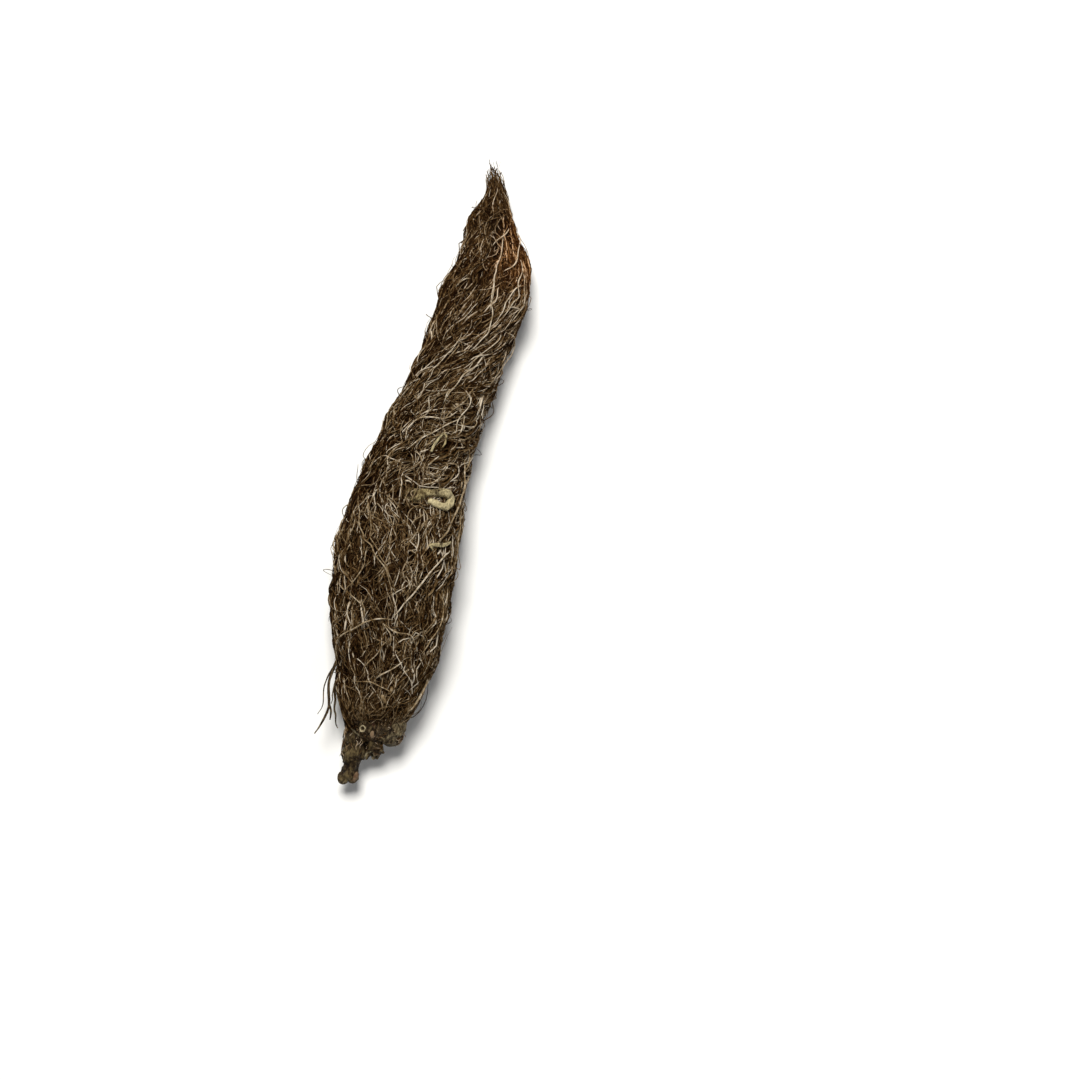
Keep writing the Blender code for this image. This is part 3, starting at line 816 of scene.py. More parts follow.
# Strands that stand out, each as (thickness, lift, tone) and its points (along, across)
STRANDS = [
    (0.27, 0.45, 0.76, [(28.8, 1.5), (32.4, 3.2), (35.8, 4.7), (40.1, 6.7), (42.0, 8.1)]),
    (0.25, 0.42, 0.60, [(20.0, -5.9), (22.2, -6.1), (24.2, -5.4), (26.3, -3.4), (27.7, -1.4), (28.6, 1.4)]),
    (0.20, 0.48, 0.58, [(27.6, 0.2), (25.9, 1.6), (24.1, 2.1)]),
    (0.21, 0.45, 0.60, [(27.6, 0.2), (26.5, 2.1), (26.7, 4.6), (24.9, 6.5)]),
    (0.22, 0.40, 0.52, [(47.6, -8.6), (44.4, -7.5), (41.3, -6.4), (39.5, -4.7), (35.9, -1.2), (31.9, 0.8)]),
    (0.18, 0.38, 0.48, [(48.8, -7.6), (44.0, -5.6), (40.5, -4.6), (37.0, -1.6), (34.0, 0.2)]),
    (0.32, 0.42, 0.56, [(57.2, 7.4), (54.2, 7.5), (51.8, 7.6), (48.7, 7.4), (44.9, 6.6), (42.6, 5.6)]),
    (0.18, 0.38, 0.56, [(18.2, -0.8), (20.1, -0.9), (22.6, 0.4), (24.7, 1.4)]),
    (0.24, 0.42, 0.72, [(18.3, 1.0), (19.8, 2.5), (22.1, 4.6)]),
    (0.22, 0.35, 0.54, [(34.1, 9.0), (31.9, 9.2), (28.1, 8.6), (26.0, 8.0), (24.1, 7.6)]),
    (0.36, 0.20, 0.62, [(20.6, 9.5), (19.4, 9.3), (17.4, 8.7), (15.1, 7.8), (14.2, 7.2)]),
    (0.62, 0.00, 0.42, [(14.6, 3.6), (15.2, 3.1), (15.8, 2.6)]),
    (0.55, 0.00, 0.38, [(16.2, 3.5), (16.9, 3.9), (17.6, 4.0)]),
    (0.15, 0.35, 0.40, [(51.9, -1.9), (50.2, -1.1), (48.6, -0.9), (47.0, -0.2)]),
    (0.15, 0.40, 0.46, [(50.9, -2.6), (49.6, -1.7), (48.2, -1.8)]),
    (0.14, 0.45, 0.42, [(51.6, 0.6), (50.2, 0.5), (48.7, 0.1), (47.4, 0.4)]),
    (0.19, 0.36, 0.52, [(17.0, -3.1), (17.4, 0.5), (16.9, 3.2), (16.1, 4.3)]),
    (0.20, 0.42, 0.62, [(74.8, 3.8), (77.6, 5.6), (80.5, 6.0), (84.2, 5.3), (89.0, 5.2)]),
    (0.22, 0.42, 0.60, [(65.5, 1.5), (68.6, 2.8), (71.4, 4.2), (73.4, 6.6)]),
    (0.20, 0.42, 0.58, [(56.5, -2.8), (58.8, -0.5), (61.6, 2.4), (64.2, 5.9)]),
    (0.20, 0.38, 0.54, [(57.9, -3.1), (59.6, -3.1), (61.9, -1.9), (62.9, 2.1), (64.8, 4.4)]),
    (0.16, 0.46, 0.54, [(79.3, 9.2), (78.6, 10.3), (76.6, 10.4), (74.2, 9.6), (70.2, 8.4)]),
    (0.17, 0.34, 0.54, [(91.8, 8.6), (88.2, 9.6), (84.5, 10.2), (81.0, 9.6)]),
    (0.22, 0.38, 0.52, [(91.0, -0.6), (93.2, -0.8), (95.4, -0.9), (97.1, -0.6), (98.8, 0.3)]),
    (0.20, 0.44, 0.66, [(82.0, 5.6), (86.9, 5.2), (88.8, 5.0), (91.1, 5.2), (95.2, 4.9)]),
    (0.22, 0.44, 0.68, [(96.0, 6.9), (93.6, 7.8), (90.7, 7.6), (89.0, 6.4)]),
    (0.19, 0.44, 0.64, [(96.2, 5.6), (94.5, 4.8), (92.6, 3.5)]),
    (0.20, 0.42, 0.72, [(81.1, 7.2), (83.4, 7.5), (85.9, 8.4), (88.0, 9.6)]),
    (0.19, 0.42, 0.66, [(81.2, 7.9), (83.9, 8.6), (85.6, 9.3), (87.7, 8.7), (89.8, 9.0), (92.0, 8.4)]),
    (0.18, 0.38, 0.58, [(84.6, -0.9), (85.8, 0.2), (86.5, 1.2)]),
    (0.17, 0.38, 0.60, [(68.0, -2.0), (71.0, -0.8), (74.5, 1.2), (77.5, 2.0)]),
    (0.17, 0.38, 0.58, [(71.0, 4.0), (74.0, 5.2), (77.0, 7.4), (79.0, 8.4)]),
    (0.18, 0.40, 0.66, [(61.0, 4.6), (63.0, 4.4), (65.5, 5.4), (67.5, 5.8)]),
    (0.19, 0.38, 0.50, [(39.0, 9.4), (42.5, 9.0), (46.0, 8.4), (50.0, 7.9)]),
    (0.17, 0.38, 0.56, [(30.5, -7.6), (33.0, -6.0), (36.5, -5.0), (39.5, -5.6)]),
    (0.17, 0.38, 0.52, [(44.0, 0.5), (46.5, 0.0), (47.8, 1.5), (46.6, 3.0), (44.6, 3.0)]),
    (0.20, 0.42, 0.74, [(56.4, -0.5), (56.9, 0.3), (57.4, 1.0)]),
    (0.18, 0.40, 0.62, [(57.8, 0.2), (58.2, 0.7), (58.5, 1.2)]),
    (0.18, 0.38, 0.60, [(65.5, 1.55), (66.8, 1.8), (67.9, 2.4)]),
    (0.18, 0.38, 0.58, [(63.6, -0.6), (65.0, -0.6), (66.4, -0.9)]),
    (0.22, 0.42, 0.66, [(60.8, 5.0), (62.0, 5.2), (63.1, 5.1)]),
    (0.20, 0.40, 0.62, [(61.7, 5.7), (63.0, 5.3), (64.2, 5.25)]),
    (0.19, 0.38, 0.60, [(62.2, 6.5), (63.0, 7.0), (64.0, 7.3)]),
    (0.20, 0.38, 0.54, [(59.3, 7.4), (57.0, 7.8), (54.8, 7.5)]),
    (0.18, 0.38, 0.60, [(56.6, -1.2), (55.9, -0.2), (54.7, 0.35)]),
    (0.18, 0.38, 0.58, [(56.1, -1.9), (55.4, -1.2), (54.3, -0.9)]),
    (0.22, 0.42, 0.68, [(54.8, 1.6), (55.6, 1.9), (56.8, 2.8)]),
    (0.20, 0.38, 0.60, [(54.5, 4.2), (55.3, 4.4), (56.0, 4.0)]),
    (0.22, 0.42, 0.66, [(51.4, 1.45), (52.2, 2.8), (53.7, 3.9)]),
    (0.22, 0.42, 0.70, [(51.2, -1.65), (51.4, -1.1), (51.2, -0.6)]),
    (0.20, 0.42, 0.66, [(53.5, 1.6), (53.4, 2.2), (53.0, 2.8)]),
    (0.20, 0.38, 0.60, [(55.9, 4.4), (56.0, 5.4), (55.4, 6.3)]),
    (0.18, 0.55, 0.48, [(47.6, -1.2), (49.0, -0.9), (50.6, -0.2)]),
    (0.17, 0.60, 0.50, [(48.6, 0.2), (49.6, -0.3), (50.9, 0.9)]),
    (0.18, 0.38, 0.62, [(46.8, 2.6), (45.6, 1.4), (44.2, 1.0)]),
    (0.20, 0.36, 0.60, [(36.2, 2.0), (34.3, 2.8), (32.6, 2.4)]),
    (0.17, 0.36, 0.58, [(38.0, 3.6), (36.0, 3.4), (34.4, 4.2)]),
    (0.17, 0.36, 0.56, [(25.6, -2.6), (23.0, -1.6), (21.2, -1.9)]),
    (0.17, 0.36, 0.56, [(31.4, -4.4), (29.0, -3.2), (27.4, -3.0)]),
]

# Steps along such a strand and its sides
STRAND_STEPS = 30
STRAND_SIDES = 5

# Extra lift and paleness of every such strand, more paleness for those that pass a distance
# along the root, and the share of the coat's warmth that they take
STRAND_LIFT = 0.40
STRAND_TONE = 0.10
UPPER_STRANDS_FROM = 60.0
UPPER_STRAND_TONE = 0.14
STRAND_WARMTH = 0.35


def build_strands(rng, material):
    """The long pale strands on top of the coat: smooth routes over its surface, gently uneven."""
    steps, sides = STRAND_STEPS, STRAND_SIDES
    paths, radii, outward = [], [], []
    for thickness, lift, _, points in STRANDS:
        points = np.array(points)
        route = smooth_route(np.stack(from_picture(points[:, 0], points[:, 1]), -1), steps)
        share = np.linspace(0.0, 1.0, steps)
        length = rows(np.diff(route, axis=0)).sum()
        sway = waves(rng, 2, steps, 2.5, 6.0, np.array([length, length]))
        along = route[:, 0] + 0.10 * sway[0]
        turn = turn_at(along, route[:, 1]) + 0.014 * sway[1]
        ends = towards_ends(share, 4)
        lifted = lift - 0.60 * ends + 0.06 * sway[1] + STRAND_LIFT
        radius = thickness / 2 * (1.0 - 0.65 * ends) * (1.0 + 0.20 * sway[0])
        paths.append(on_coat(along, turn, lifted, radius))
        radii.append(radius)
        outward.append(outward_of(turn))
    paths, radii = np.array(paths), np.array(radii)
    higher = np.array([max(place[0] for place in row[3]) for row in STRANDS]) > UPPER_STRANDS_FROM
    tone = np.array([row[2] for row in STRANDS]) + STRAND_TONE + UPPER_STRAND_TONE * higher
    lengths = rows(paths[:, -1] - paths[:, 0])[:, 0]
    # Paleness swings along each strand: its own tone and painted highlights where it would catch the light.
    tone = tone[:, None] + 0.12 * waves(rng, len(paths), steps, 1.5, 4.0, lengths)
    values = {"tone": tone, "warmth": STRAND_WARMTH * warmth_at(paths)}
    piece = strand_object("pale_strands", paths, radii, np.array(outward), values, material, sides)


# The neck's wisps: (across, along, height, radius) from the shoulder to beyond the frayed end
WISPS = [
    [(1.0, 85.5, 5.0, 2.5), (0.7, 91.0, 4.6, 2.0), (0.25, 95.8, 4.0, 1.30), (0.85, 98.8, 3.6, 0.90),
     (1.35, 101.0, 3.3, 0.82), (0.75, 103.6, 2.9, 0.75), (-0.2, 107.0, 2.4, 0.50)],
    [(3.6, 85.5, 5.0, 2.7), (3.6, 91.0, 4.6, 2.2), (3.2, 95.6, 4.0, 1.55), (3.0, 98.8, 3.5, 1.15),
     (2.55, 101.0, 3.2, 1.00), (1.5, 103.6, 2.8, 0.85), (0.4, 107.0, 2.3, 0.50)],
    [(6.4, 85.5, 4.6, 2.3), (6.6, 91.0, 4.3, 1.7), (5.7, 95.4, 3.7, 1.15), (4.6, 98.4, 3.3, 0.60),
     (3.7, 101.0, 3.0, 0.52), (2.2, 103.6, 2.7, 0.50), (0.9, 107.0, 2.3, 0.30)],
]
WISP_FIBRES = (280, 360, 200)
WISP_FIBRE_RADII = (0.05, 0.115)
WISP_FIBRE_ENDS = (0.55, 1.0)  # the first and the last share of the wisp at which a fibre may end

# Steps along a wisp's dark core, its sides, and its width as a share of the wisp's
CORE_STEPS = 40
CORE_SIDES = 16
CORE_SHARE = 0.74


def build_wisps(rng, materials):
    """The neck: fibres that follow each wisp's route, spread over its section and frayed at the end.

    A fibre keeps its own place in the section, given by a turn and a share of the radius. The
    turn drifts and twists slowly along it, and it ends at its own length. A dark core fills
    each wisp and narrows to a point.
    """
    fine, steps = 120, 11
    all_paths, all_radii, all_outward, cores, core_radii = [], [], [], [], []
    for route, count in zip(WISPS, WISP_FIBRES):
        middle, radius = in_frame(route, fine)
        run = np.concatenate([[0.0], np.cumsum(rows(np.diff(middle, axis=0))[:, 0])])
        run = run / run[-1]
        along_it = np.linspace(0.0, 1.0, steps)[None, :]
        start = rng.uniform(0.0, 0.5, (count, 1))
        limit = np.clip(rng.normal(0.80, 0.12, (count, 1)), *WISP_FIBRE_ENDS)
        end = np.minimum(start + rng.uniform(0.25, 0.65, (count, 1)), limit)
        share = start + (end - start) * along_it
        heart = np.stack([np.interp(share, run, middle[:, axis]) for axis in range(3)], -1)
        reach = np.interp(share, run, radius)
        lengths = rows(heart[:, -1] - heart[:, 0])[:, 0]
        around = rng.uniform(0.0, FULL_TURN, (count, 1)) + 1.6 * share
        around = around + 0.75 * waves(rng, count, steps, 4.0, 12.0, lengths)
        out = rng.uniform(0.40, 1.10, (count, 1)) + 0.20 * waves(rng, count, steps, 3.0, 8.0, lengths)
        fan = 1.0 + 1.2 * ramp(share, 0.74, 1.0) * rng.uniform(0.0, 1.0, (count, 1)) ** 2
        outward = outward_of(around)
        paths = heart + outward * (reach * out * fan)[..., None]
        paths[..., 0] += 0.55 * ramp(share, 0.60, 0.95) * waves(rng, count, steps, 3.0, 8.0, lengths)
        thin = rng.uniform(*WISP_FIBRE_RADII, (count, 1)) * (1.0 - 0.5 * along_it ** 4)
        paths[..., 2] = np.maximum(paths[..., 2], FLOOR_CLEARANCE + thin)
        all_paths.append(paths)
        all_radii.append(thin)
        all_outward.append(outward)
        core, core_radius = in_frame(route, CORE_STEPS)
        closing = 1.0 - ramp(np.linspace(0.0, 1.0, CORE_STEPS), 0.45, 0.78)
        narrow = core_radius * CORE_SHARE * closing
        cores.append(core)
        core_radii.append(close_ends(core, narrow + 0.03))
    paths, radii = np.concatenate(all_paths), np.concatenate(all_radii)
    tone = np.clip(rng.normal(0.24, 0.14, len(paths)), 0.0, 1.0)
    tone = np.where(rng.random(len(paths)) < 0.13, rng.uniform(0.5, 0.9, len(paths)), tone)
    values = {"tone": tone, "warmth": warmth_at(paths)}
    outward = np.concatenate(all_outward)
    piece = strand_object("neck_fibres", paths, radii, outward, values, materials["fibre"])
    cores, core_radii = np.array(cores), np.array(core_radii)
    upright = np.broadcast_to(np.array([0.0, 0.0, 1.0]), cores.shape)
    # Painted shade: a core of the near-black felt fills each wisp, in place of the shade between its fibres.
    piece = strand_object("neck_cores", cores, core_radii, upright, {}, materials["felt"], CORE_SIDES)


# The felt's rings and the points round each, and how far its two ends take to open
FELT_RINGS = 180
FELT_POINTS = 96
FELT_LOWER_CLOSING = 4.0
FELT_UPPER_CLOSING = 12.0


def build_felt(material):
    """The felt that the fibres lie on: the coat's surface sunk by the felt's depth, closed at both ends.

    A grid of lengths and turns. Fine ridges run along it, and its ends shrink towards the
    section's middle.
    """
    lengths = np.linspace(COAT_START + 0.2, COAT_END, FELT_RINGS)
    turns = np.linspace(-math.pi, math.pi, FELT_POINTS, endpoint=False)
    along, turn = np.meshgrid(lengths, turns, indexing="ij")
    ridges = 0.14 * np.sin(29 * turn + 0.5 * along + 2.0 * np.sin(0.21 * along))
    ridges += 0.10 * np.sin(21 * turn - 2.3 * along)
    places = on_coat(along, turn, -FELT_DEPTH + ridges)
    middle, _, level, _, _ = section(along)
    heart = np.stack([middle, along + TIP_Y, level], -1)
    opening = within(
        along, COAT_START, COAT_START + FELT_LOWER_CLOSING, COAT_END - FELT_UPPER_CLOSING, COAT_END + 0.3
    )
    places = heart + (places - heart) * (0.25 + 0.75 * opening)[..., None]
    count, around = along.shape
    vertices = np.vstack([places.reshape(-1, 3), heart[:1, 0], heart[-1:, 0]])
    line = np.arange(count - 1)[:, None] * around
    spot = np.arange(around)[None, :]
    after = (spot + 1) % around
    quads = np.stack([line + after, line + around + after, line + around + spot, line + spot], -1)
    first = np.stack([after[0], spot[0], 0 * spot[0] + count * around], -1)
    last_line = (count - 1) * around
    last = np.stack([last_line + spot[0], last_line + after[0], 0 * spot[0] + count * around + 1], -1)
    piece = make_object(
        "fibre_felt", vertices, [quads.reshape(-1, 4), np.concatenate([first, last])], material
    )
    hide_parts("fibre_coat")


# The woody rhizome

# Stubs and crown as (across, along, height, radius). The crown is this much flatter than wide.
CROWN_FLAT = 0.84
CROWN = [
    (2.2, 7.3, 4.8, 3.4), (2.1, 8.6, 4.9, 3.9), (2.1, 10.0, 5.1, 4.35),
    (2.1, 12.0, 5.3, 4.8), (2.1, 14.5, 5.5, 4.8), (2.1, 19.0, 5.6, 4.2),
]
MAIN_STUB = [
    (0.1, 0.75, 3.5, 1.25), (0.12, 1.4, 3.55, 1.42), (0.22, 2.4, 3.6, 1.36),
    (0.30, 3.4, 3.7, 1.30), (0.12, 4.35, 3.85, 1.66), (0.16, 5.3, 4.0, 1.74),
    (0.06, 6.8, 4.2, 1.82), (0.05, 8.0, 4.5, 1.95), (0.4, 11.0, 5.0, 2.3),
]
SIDE_STUB = [(3.3, 5.7, 3.9, 1.15), (3.45, 6.4, 4.1, 1.35), (3.25, 7.4, 4.3, 1.25), (2.9, 9.5, 4.8, 1.7)]
LOW_STUB = [(5.35, 7.5, 3.9, 1.40), (5.4, 8.4, 4.3, 1.75), (5.2, 10.0, 5.1, 2.15), (4.7, 12.5, 5.8, 2.5)]
LEFT_BULB = [(-0.40, 2.2, 3.6, 0.75), (-0.52, 1.2, 3.6, 0.94), (-0.42, 0.0, 3.4, 0.85)]
RIGHT_BULB = [(0.75, 2.7, 3.6, 0.8), (0.9, 1.7, 3.6, 0.9), (0.9, 0.45, 3.4, 0.8)]
LEFT_KNOB = [(-0.7, 5.9, 4.2, 0.55), (-0.85, 4.8, 4.2, 0.85), (-0.6, 3.9, 4.1, 0.5)]
RIGHT_POINT = [(3.8, 7.1, 4.1, 0.55), (4.5, 6.5, 4.05, 0.38), (5.05, 6.25, 4.0, 0.12)]
LEFT_POINT = [(2.7, 6.4, 4.1, 0.55), (2.5, 5.4, 4.0, 0.38), (2.4, 4.6, 3.9, 0.15)]
RED_BUD = [(1.45, 2.4, 4.20, 0.20), (1.35, 1.6, 4.35, 0.40), (1.15, 0.8, 4.15, 0.26)]
PINK_BUD = [(2.85, 7.9, 7.55, 0.22), (2.80, 8.35, 7.95, 0.36), (2.75, 9.0, 8.3, 0.20)]
THORN = [(2.9, 9.2, 8.3, 0.20), (2.7, 10.0, 8.8, 0.28), (2.2, 11.0, 9.3, 0.22)]
RIDGE = [(-0.9, 8.8, 6.6, 0.12), (0.0, 8.4, 6.8, 0.17), (0.7, 7.9, 6.7, 0.12)]

# Big strands, then small ones: route, roughness, paleness, redness, flatness
BIG_STRANDS = [
    (CROWN, 0.5, 0.10, 0.15, CROWN_FLAT), (MAIN_STUB, 1.0, 0.0, 0.02, 1.0), (SIDE_STUB, 1.2, 0.0, 0.08, 1.0),
    (LOW_STUB, 0.8, 0.22, 0.04, 1.0),
]
SMALL_STRANDS = [
    (LEFT_BULB, 0.7, 0.10, 0.0, 1.0), (RIGHT_BULB, 0.8, 0.0, 0.22, 1.0), (LEFT_KNOB, 0.7, 0.0, 0.0, 1.0),
    (RIGHT_POINT, 0.7, 0.0, 0.1, 1.0), (LEFT_POINT, 0.7, 0.0, 0.1, 1.0), (RED_BUD, 0.6, 0.42, 0.50, 1.0),
    (PINK_BUD, 0.5, 0.62, 0.52, 1.0), (THORN, 1.0, 0.03, 0.25, 1.0), (RIDGE, 0.8, 0.40, 0.0, 1.0),
]

# Broken ends with a hole: centre (across, along, height), direction, radius, inner share, depth,
# teeth, paleness
CUPS = [
    ((1.1, 8.95, 8.35), (-0.12, -0.45, 0.89), 0.56, 0.60, 0.9, 0.05, 1.50),
    ((3.25, 5.45, 4.00), (0.10, -0.95, 0.30), 1.12, 0.74, 1.0, 0.50, 0.8),
    ((-0.52, 0.85, 4.28), (-0.10, -0.55, 0.83), 0.80, 0.70, 0.30, 0.05, 0.50),
    ((0.05, 7.4, 6.20), (-0.10, -0.35, 0.93), 0.70, 0.66, 0.5, 0.08, 0.35),
    ((3.4, 11.5, 9.25), (0.20, -0.20, 0.96), 0.40, 0.60, 0.4, 0.06, 0.4),
    ((-0.9, 10.9, 8.30), (-0.45, -0.25, 0.86), 0.44, 0.60, 0.4, 0.06, 0.35),
    ((-0.1, 9.9, 8.75), (-0.30, -0.35, 0.90), 0.38, 0.60, 0.4, 0.10, 0.15),
    ((5.2, 9.2, 5.90), (0.10, -0.40, 0.91), 0.36, 0.55, 0.4, 0.06, 0.3),
    ((1.2, 4.4, 5.25), (0.60, -0.10, 0.79), 0.30, 0.55, 0.3, 0.05, 0.3),
]


# A knob's height or a pit's depth, the most that they add up to, and how wide they are
KNOB_HEIGHTS = (0.16, 0.16, -0.13)
KNOB_LIMITS = (-0.16, 0.17)
KNOB_SIZES = (0.045, 0.11)

# Crevices that wind along a strand, and their depth and width as shares of its radius and girth
CREVICES = 6
CREVICE_DEPTH = 0.17
CREVICE_WIDTH = 0.026


def knobs(rng, share, around, count, length):
    """Knobs and pits: bell curves at random places over a strand's length and girth, closed around it."""
    total = np.zeros(share.shape)
    for _ in range(count):
        apart = (around - rng.random() + 0.5) % 1.0 - 0.5
        size = rng.uniform(*KNOB_SIZES)
        behind = (share - rng.random()) * length / 9.0
        total += rng.choice(KNOB_HEIGHTS) * np.exp(-(behind / size) ** 2 - (apart / size) ** 2)
    return np.clip(total, *KNOB_LIMITS)


def bark_strand(rng, route, steps, sides, rough):
    """One bark-skinned strand: a route with rounded ends whose radius is broken up around and along it.

    Coarse and fine random patches, knobs and pits, and crevices that wind along it add to the radius.
    The relief is also returned, from 0 in the deepest pits to 1 on the ridges; it paints shade in the pits
    and light on the ridges.
    """
    path, radius = in_frame(route, steps)
    radius = close_ends(path, radius)[:, None]
    share = np.linspace(0.0, 1.0, steps)[:, None]
    around = np.arange(sides)[None, :] / sides
    length = rows(np.diff(path, axis=0)).sum()
    share_grid, around_grid = share + 0 * around, around + 0 * share
    skin = 0.11 * patches(rng, share_grid, around_grid, max(3, int(length / 1.3)), 6)
    skin = skin + 0.08 * patches(rng, share_grid, around_grid, max(6, int(length / 0.45)), 14)
    skin = skin + knobs(rng, share_grid, around_grid, 8 + int(2 * length), length)
    for groove in rng.random(CREVICES):
        winding = groove + 0.05 * np.sin(FULL_TURN * (length * share / 4.5 + groove))
        apart = (around - winding + 0.5) % 1.0 - 0.5
        open_here = ramp(np.sin(FULL_TURN * (length * share / 3.1 + 3.0 * groove)), -0.6, 0.4)
        skin = skin - CREVICE_DEPTH * open_here * np.exp(-(apart / CREVICE_WIDTH) ** 2)
    skin = skin + 0.012 * np.sin(FULL_TURN * length * share / 0.6 + 1.6 * np.sin(FULL_TURN * 2 * around))
    return path, radius * (1.0 + rough * skin), np.clip(0.5 + 2.0 * skin, 0.0, 1.0)


def cup_strand(rng, cup, steps, sides):
    """One broken end with a hole: rings round an axis, with their vertices and how pale each is.

    The rings climb the outside, turn over a toothed rim and go down the inside. The rim's teeth
    are two sine waves round it.
    """
    centre, direction, radius, inner, depth, teeth, paleness = cup
    axis = unit(np.array(direction, float))
    side = unit(np.cross(axis, np.array([0.0, 1.0, 0.2])))
    up = np.cross(axis, side)
    # Down the inside of the hole the paleness falls to nothing, which paints shade there.
    # Distance from the axis as a share of the radius, height as a share of the radius or depth, paleness
    profile = np.array([
        (0.30, -1.30, 0.0), (0.85, -1.10, 0.0), (1.02, -0.55, 0.0), (1.06, -0.25, 0.1), (1.0, -0.06, 0.5),
        (0.92, 0.02, 1.0), (0.5 + 0.5 * inner, 0.0, 1.0), (inner, -0.12, 0.8), (0.9 * inner, -0.5, 0.3),
        (0.75 * inner, -1.0, 0.0), (0.30 * inner, -1.05, 0.0),
    ])
    profile = smooth_route(profile, steps)
    angle = FULL_TURN * np.arange(sides) / sides
    phase = rng.uniform(0.0, FULL_TURN, 2)
    tooth = 0.6 * np.sin(3 * angle + phase[0]) + 0.4 * np.sin(7 * angle + phase[1])
    wobble = 1.0 + 0.09 * np.sin(2 * angle + phase[1]) + 0.07 * np.sin(5 * angle + phase[0])
    stained = 0.72 + 0.28 * np.sin(angle + phase[0])
    out = radius * profile[:, 0][:, None] * wobble[None, :]
    fall = np.where(profile[:, 1] < 0.0, np.where(np.arange(steps) < steps * 0.55, radius, depth), radius)
    jagged = teeth * ramp(profile[:, 1], -0.8, 0.0)[:, None] * tooth[None, :]
    climb = (profile[:, 1] * fall)[:, None] + jagged
    heart = np.array(centre) + np.array([AXIS_X, TIP_Y, 0.0])
    ring = out[..., None] * (np.cos(angle)[:, None] * side + np.sin(angle)[:, None] * up)
    vertices = heart + ring + climb[..., None] * axis
    return vertices, paleness * np.clip(profile[:, 2], 0.0, 1.0)[:, None] * stained


# Steps and sides of the big strands and of the small ones, and the left edge and width of each
# kind's share of the map
BIG_GRID = (76, 44, 0.0, 0.60)
SMALL_GRID = (40, 22, 0.62, 0.38)


def build_rhizome(rng, material):
    """The woody stubs and crown, one piece: bark-skinned strands, bulbs, buds and broken hollow ends."""
    upright = np.array([0.0, 0.0, 1.0])
    vertices, pale, red, relief_shade_and_tone, faces, places = [], [], [], [], [], []
    offset = 0
    for strands, cups, grid in ((BIG_STRANDS, [], BIG_GRID), (SMALL_STRANDS, CUPS, SMALL_GRID)):
        steps, sides, left, wide = grid
        rings = []
        for route, rough, paleness, redness, flat in strands:
            path, radii, height = bark_strand(rng, route, steps, sides, rough)
            relief_shade_and_tone.append(height.ravel())
            rings.append(carry_rings(path[None], radii[None], upright + 0 * path[None], sides, flat)[0])
            pale.append(np.full(steps * sides, paleness))
            red.append(np.full(steps * sides, redness))
        for cup in cups:
            ring, paleness = cup_strand(rng, cup, steps, sides)
            rings.append(ring)
            pale.append(paleness.ravel())
            red.append(0.2 * (1.0 - paleness.ravel()))
            # Relief is low off the rim: painted shade down the hole and painted light on the rim.
            relief_shade_and_tone.append(0.25 + 0.4 * paleness.ravel())
        count = len(rings)
        vertices.append(np.array(rings).reshape(-1, 3))
        faces += [part + offset for part in ring_faces(count, steps, sides)]
        places.append(strip_map(count, steps, sides) * np.array([wide, 1.0]) + np.array([left, 0.0]))
        offset += count * steps * sides
    values = {"pale": np.concatenate(pale), "red": np.concatenate(red), "relief_shade_and_tone": np.concatenate(relief_shade_and_tone)}
    piece = make_object(
        "rhizome_bark", np.concatenate(vertices), faces, material, values, np.concatenate(places)
    )
    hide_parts("rhizome")


def on_strand(route, share, around, lift, flat):
    """Points over a strand's skin: its route at a share of its length, out by its radius and a lift."""
    fine = 60
    middle, radius = in_frame(route, fine)
    grid = np.linspace(0.0, 1.0, fine)
    heart = np.stack([np.interp(share, grid, middle[:, axis]) for axis in range(3)], -1)
    reach = np.interp(share, grid, close_ends(middle, radius)) + lift
    return heart + outward_of(around) * reach[..., None] * np.array([1.0, 1.0, flat])


# Strand, its flatness, count, first and last share of its length, first and last turn,
# for the crown's fibres and scales
CROWN_COVER = [
    (CROWN, CROWN_FLAT, 560, (0.0, 0.62), (-0.9, math.pi + 0.9)),
    (MAIN_STUB, 1.0, 44, (0.42, 1.0), (0.2, math.pi + 1.2)),
    (LOW_STUB, 1.0, 130, (0.02, 0.8), (-1.0, math.pi)),
    (SIDE_STUB, 1.0, 30, (0.3, 1.0), (0.0, math.pi)),
]

# Steps along the crown's fibres and scales, their radii and half widths, and how many fibres
# there are for each scale
CROWN_FIBRE_STEPS = 9
CROWN_FIBRE_RADII = (0.045, 0.10)
SCALE_STEPS = 7
SCALE_WIDTHS = (0.18, 0.42)
FIBRES_PER_SCALE = 4
PALE_CROWN_SHARE = 0.12        # share of the crown's fibres that are paler than the rest


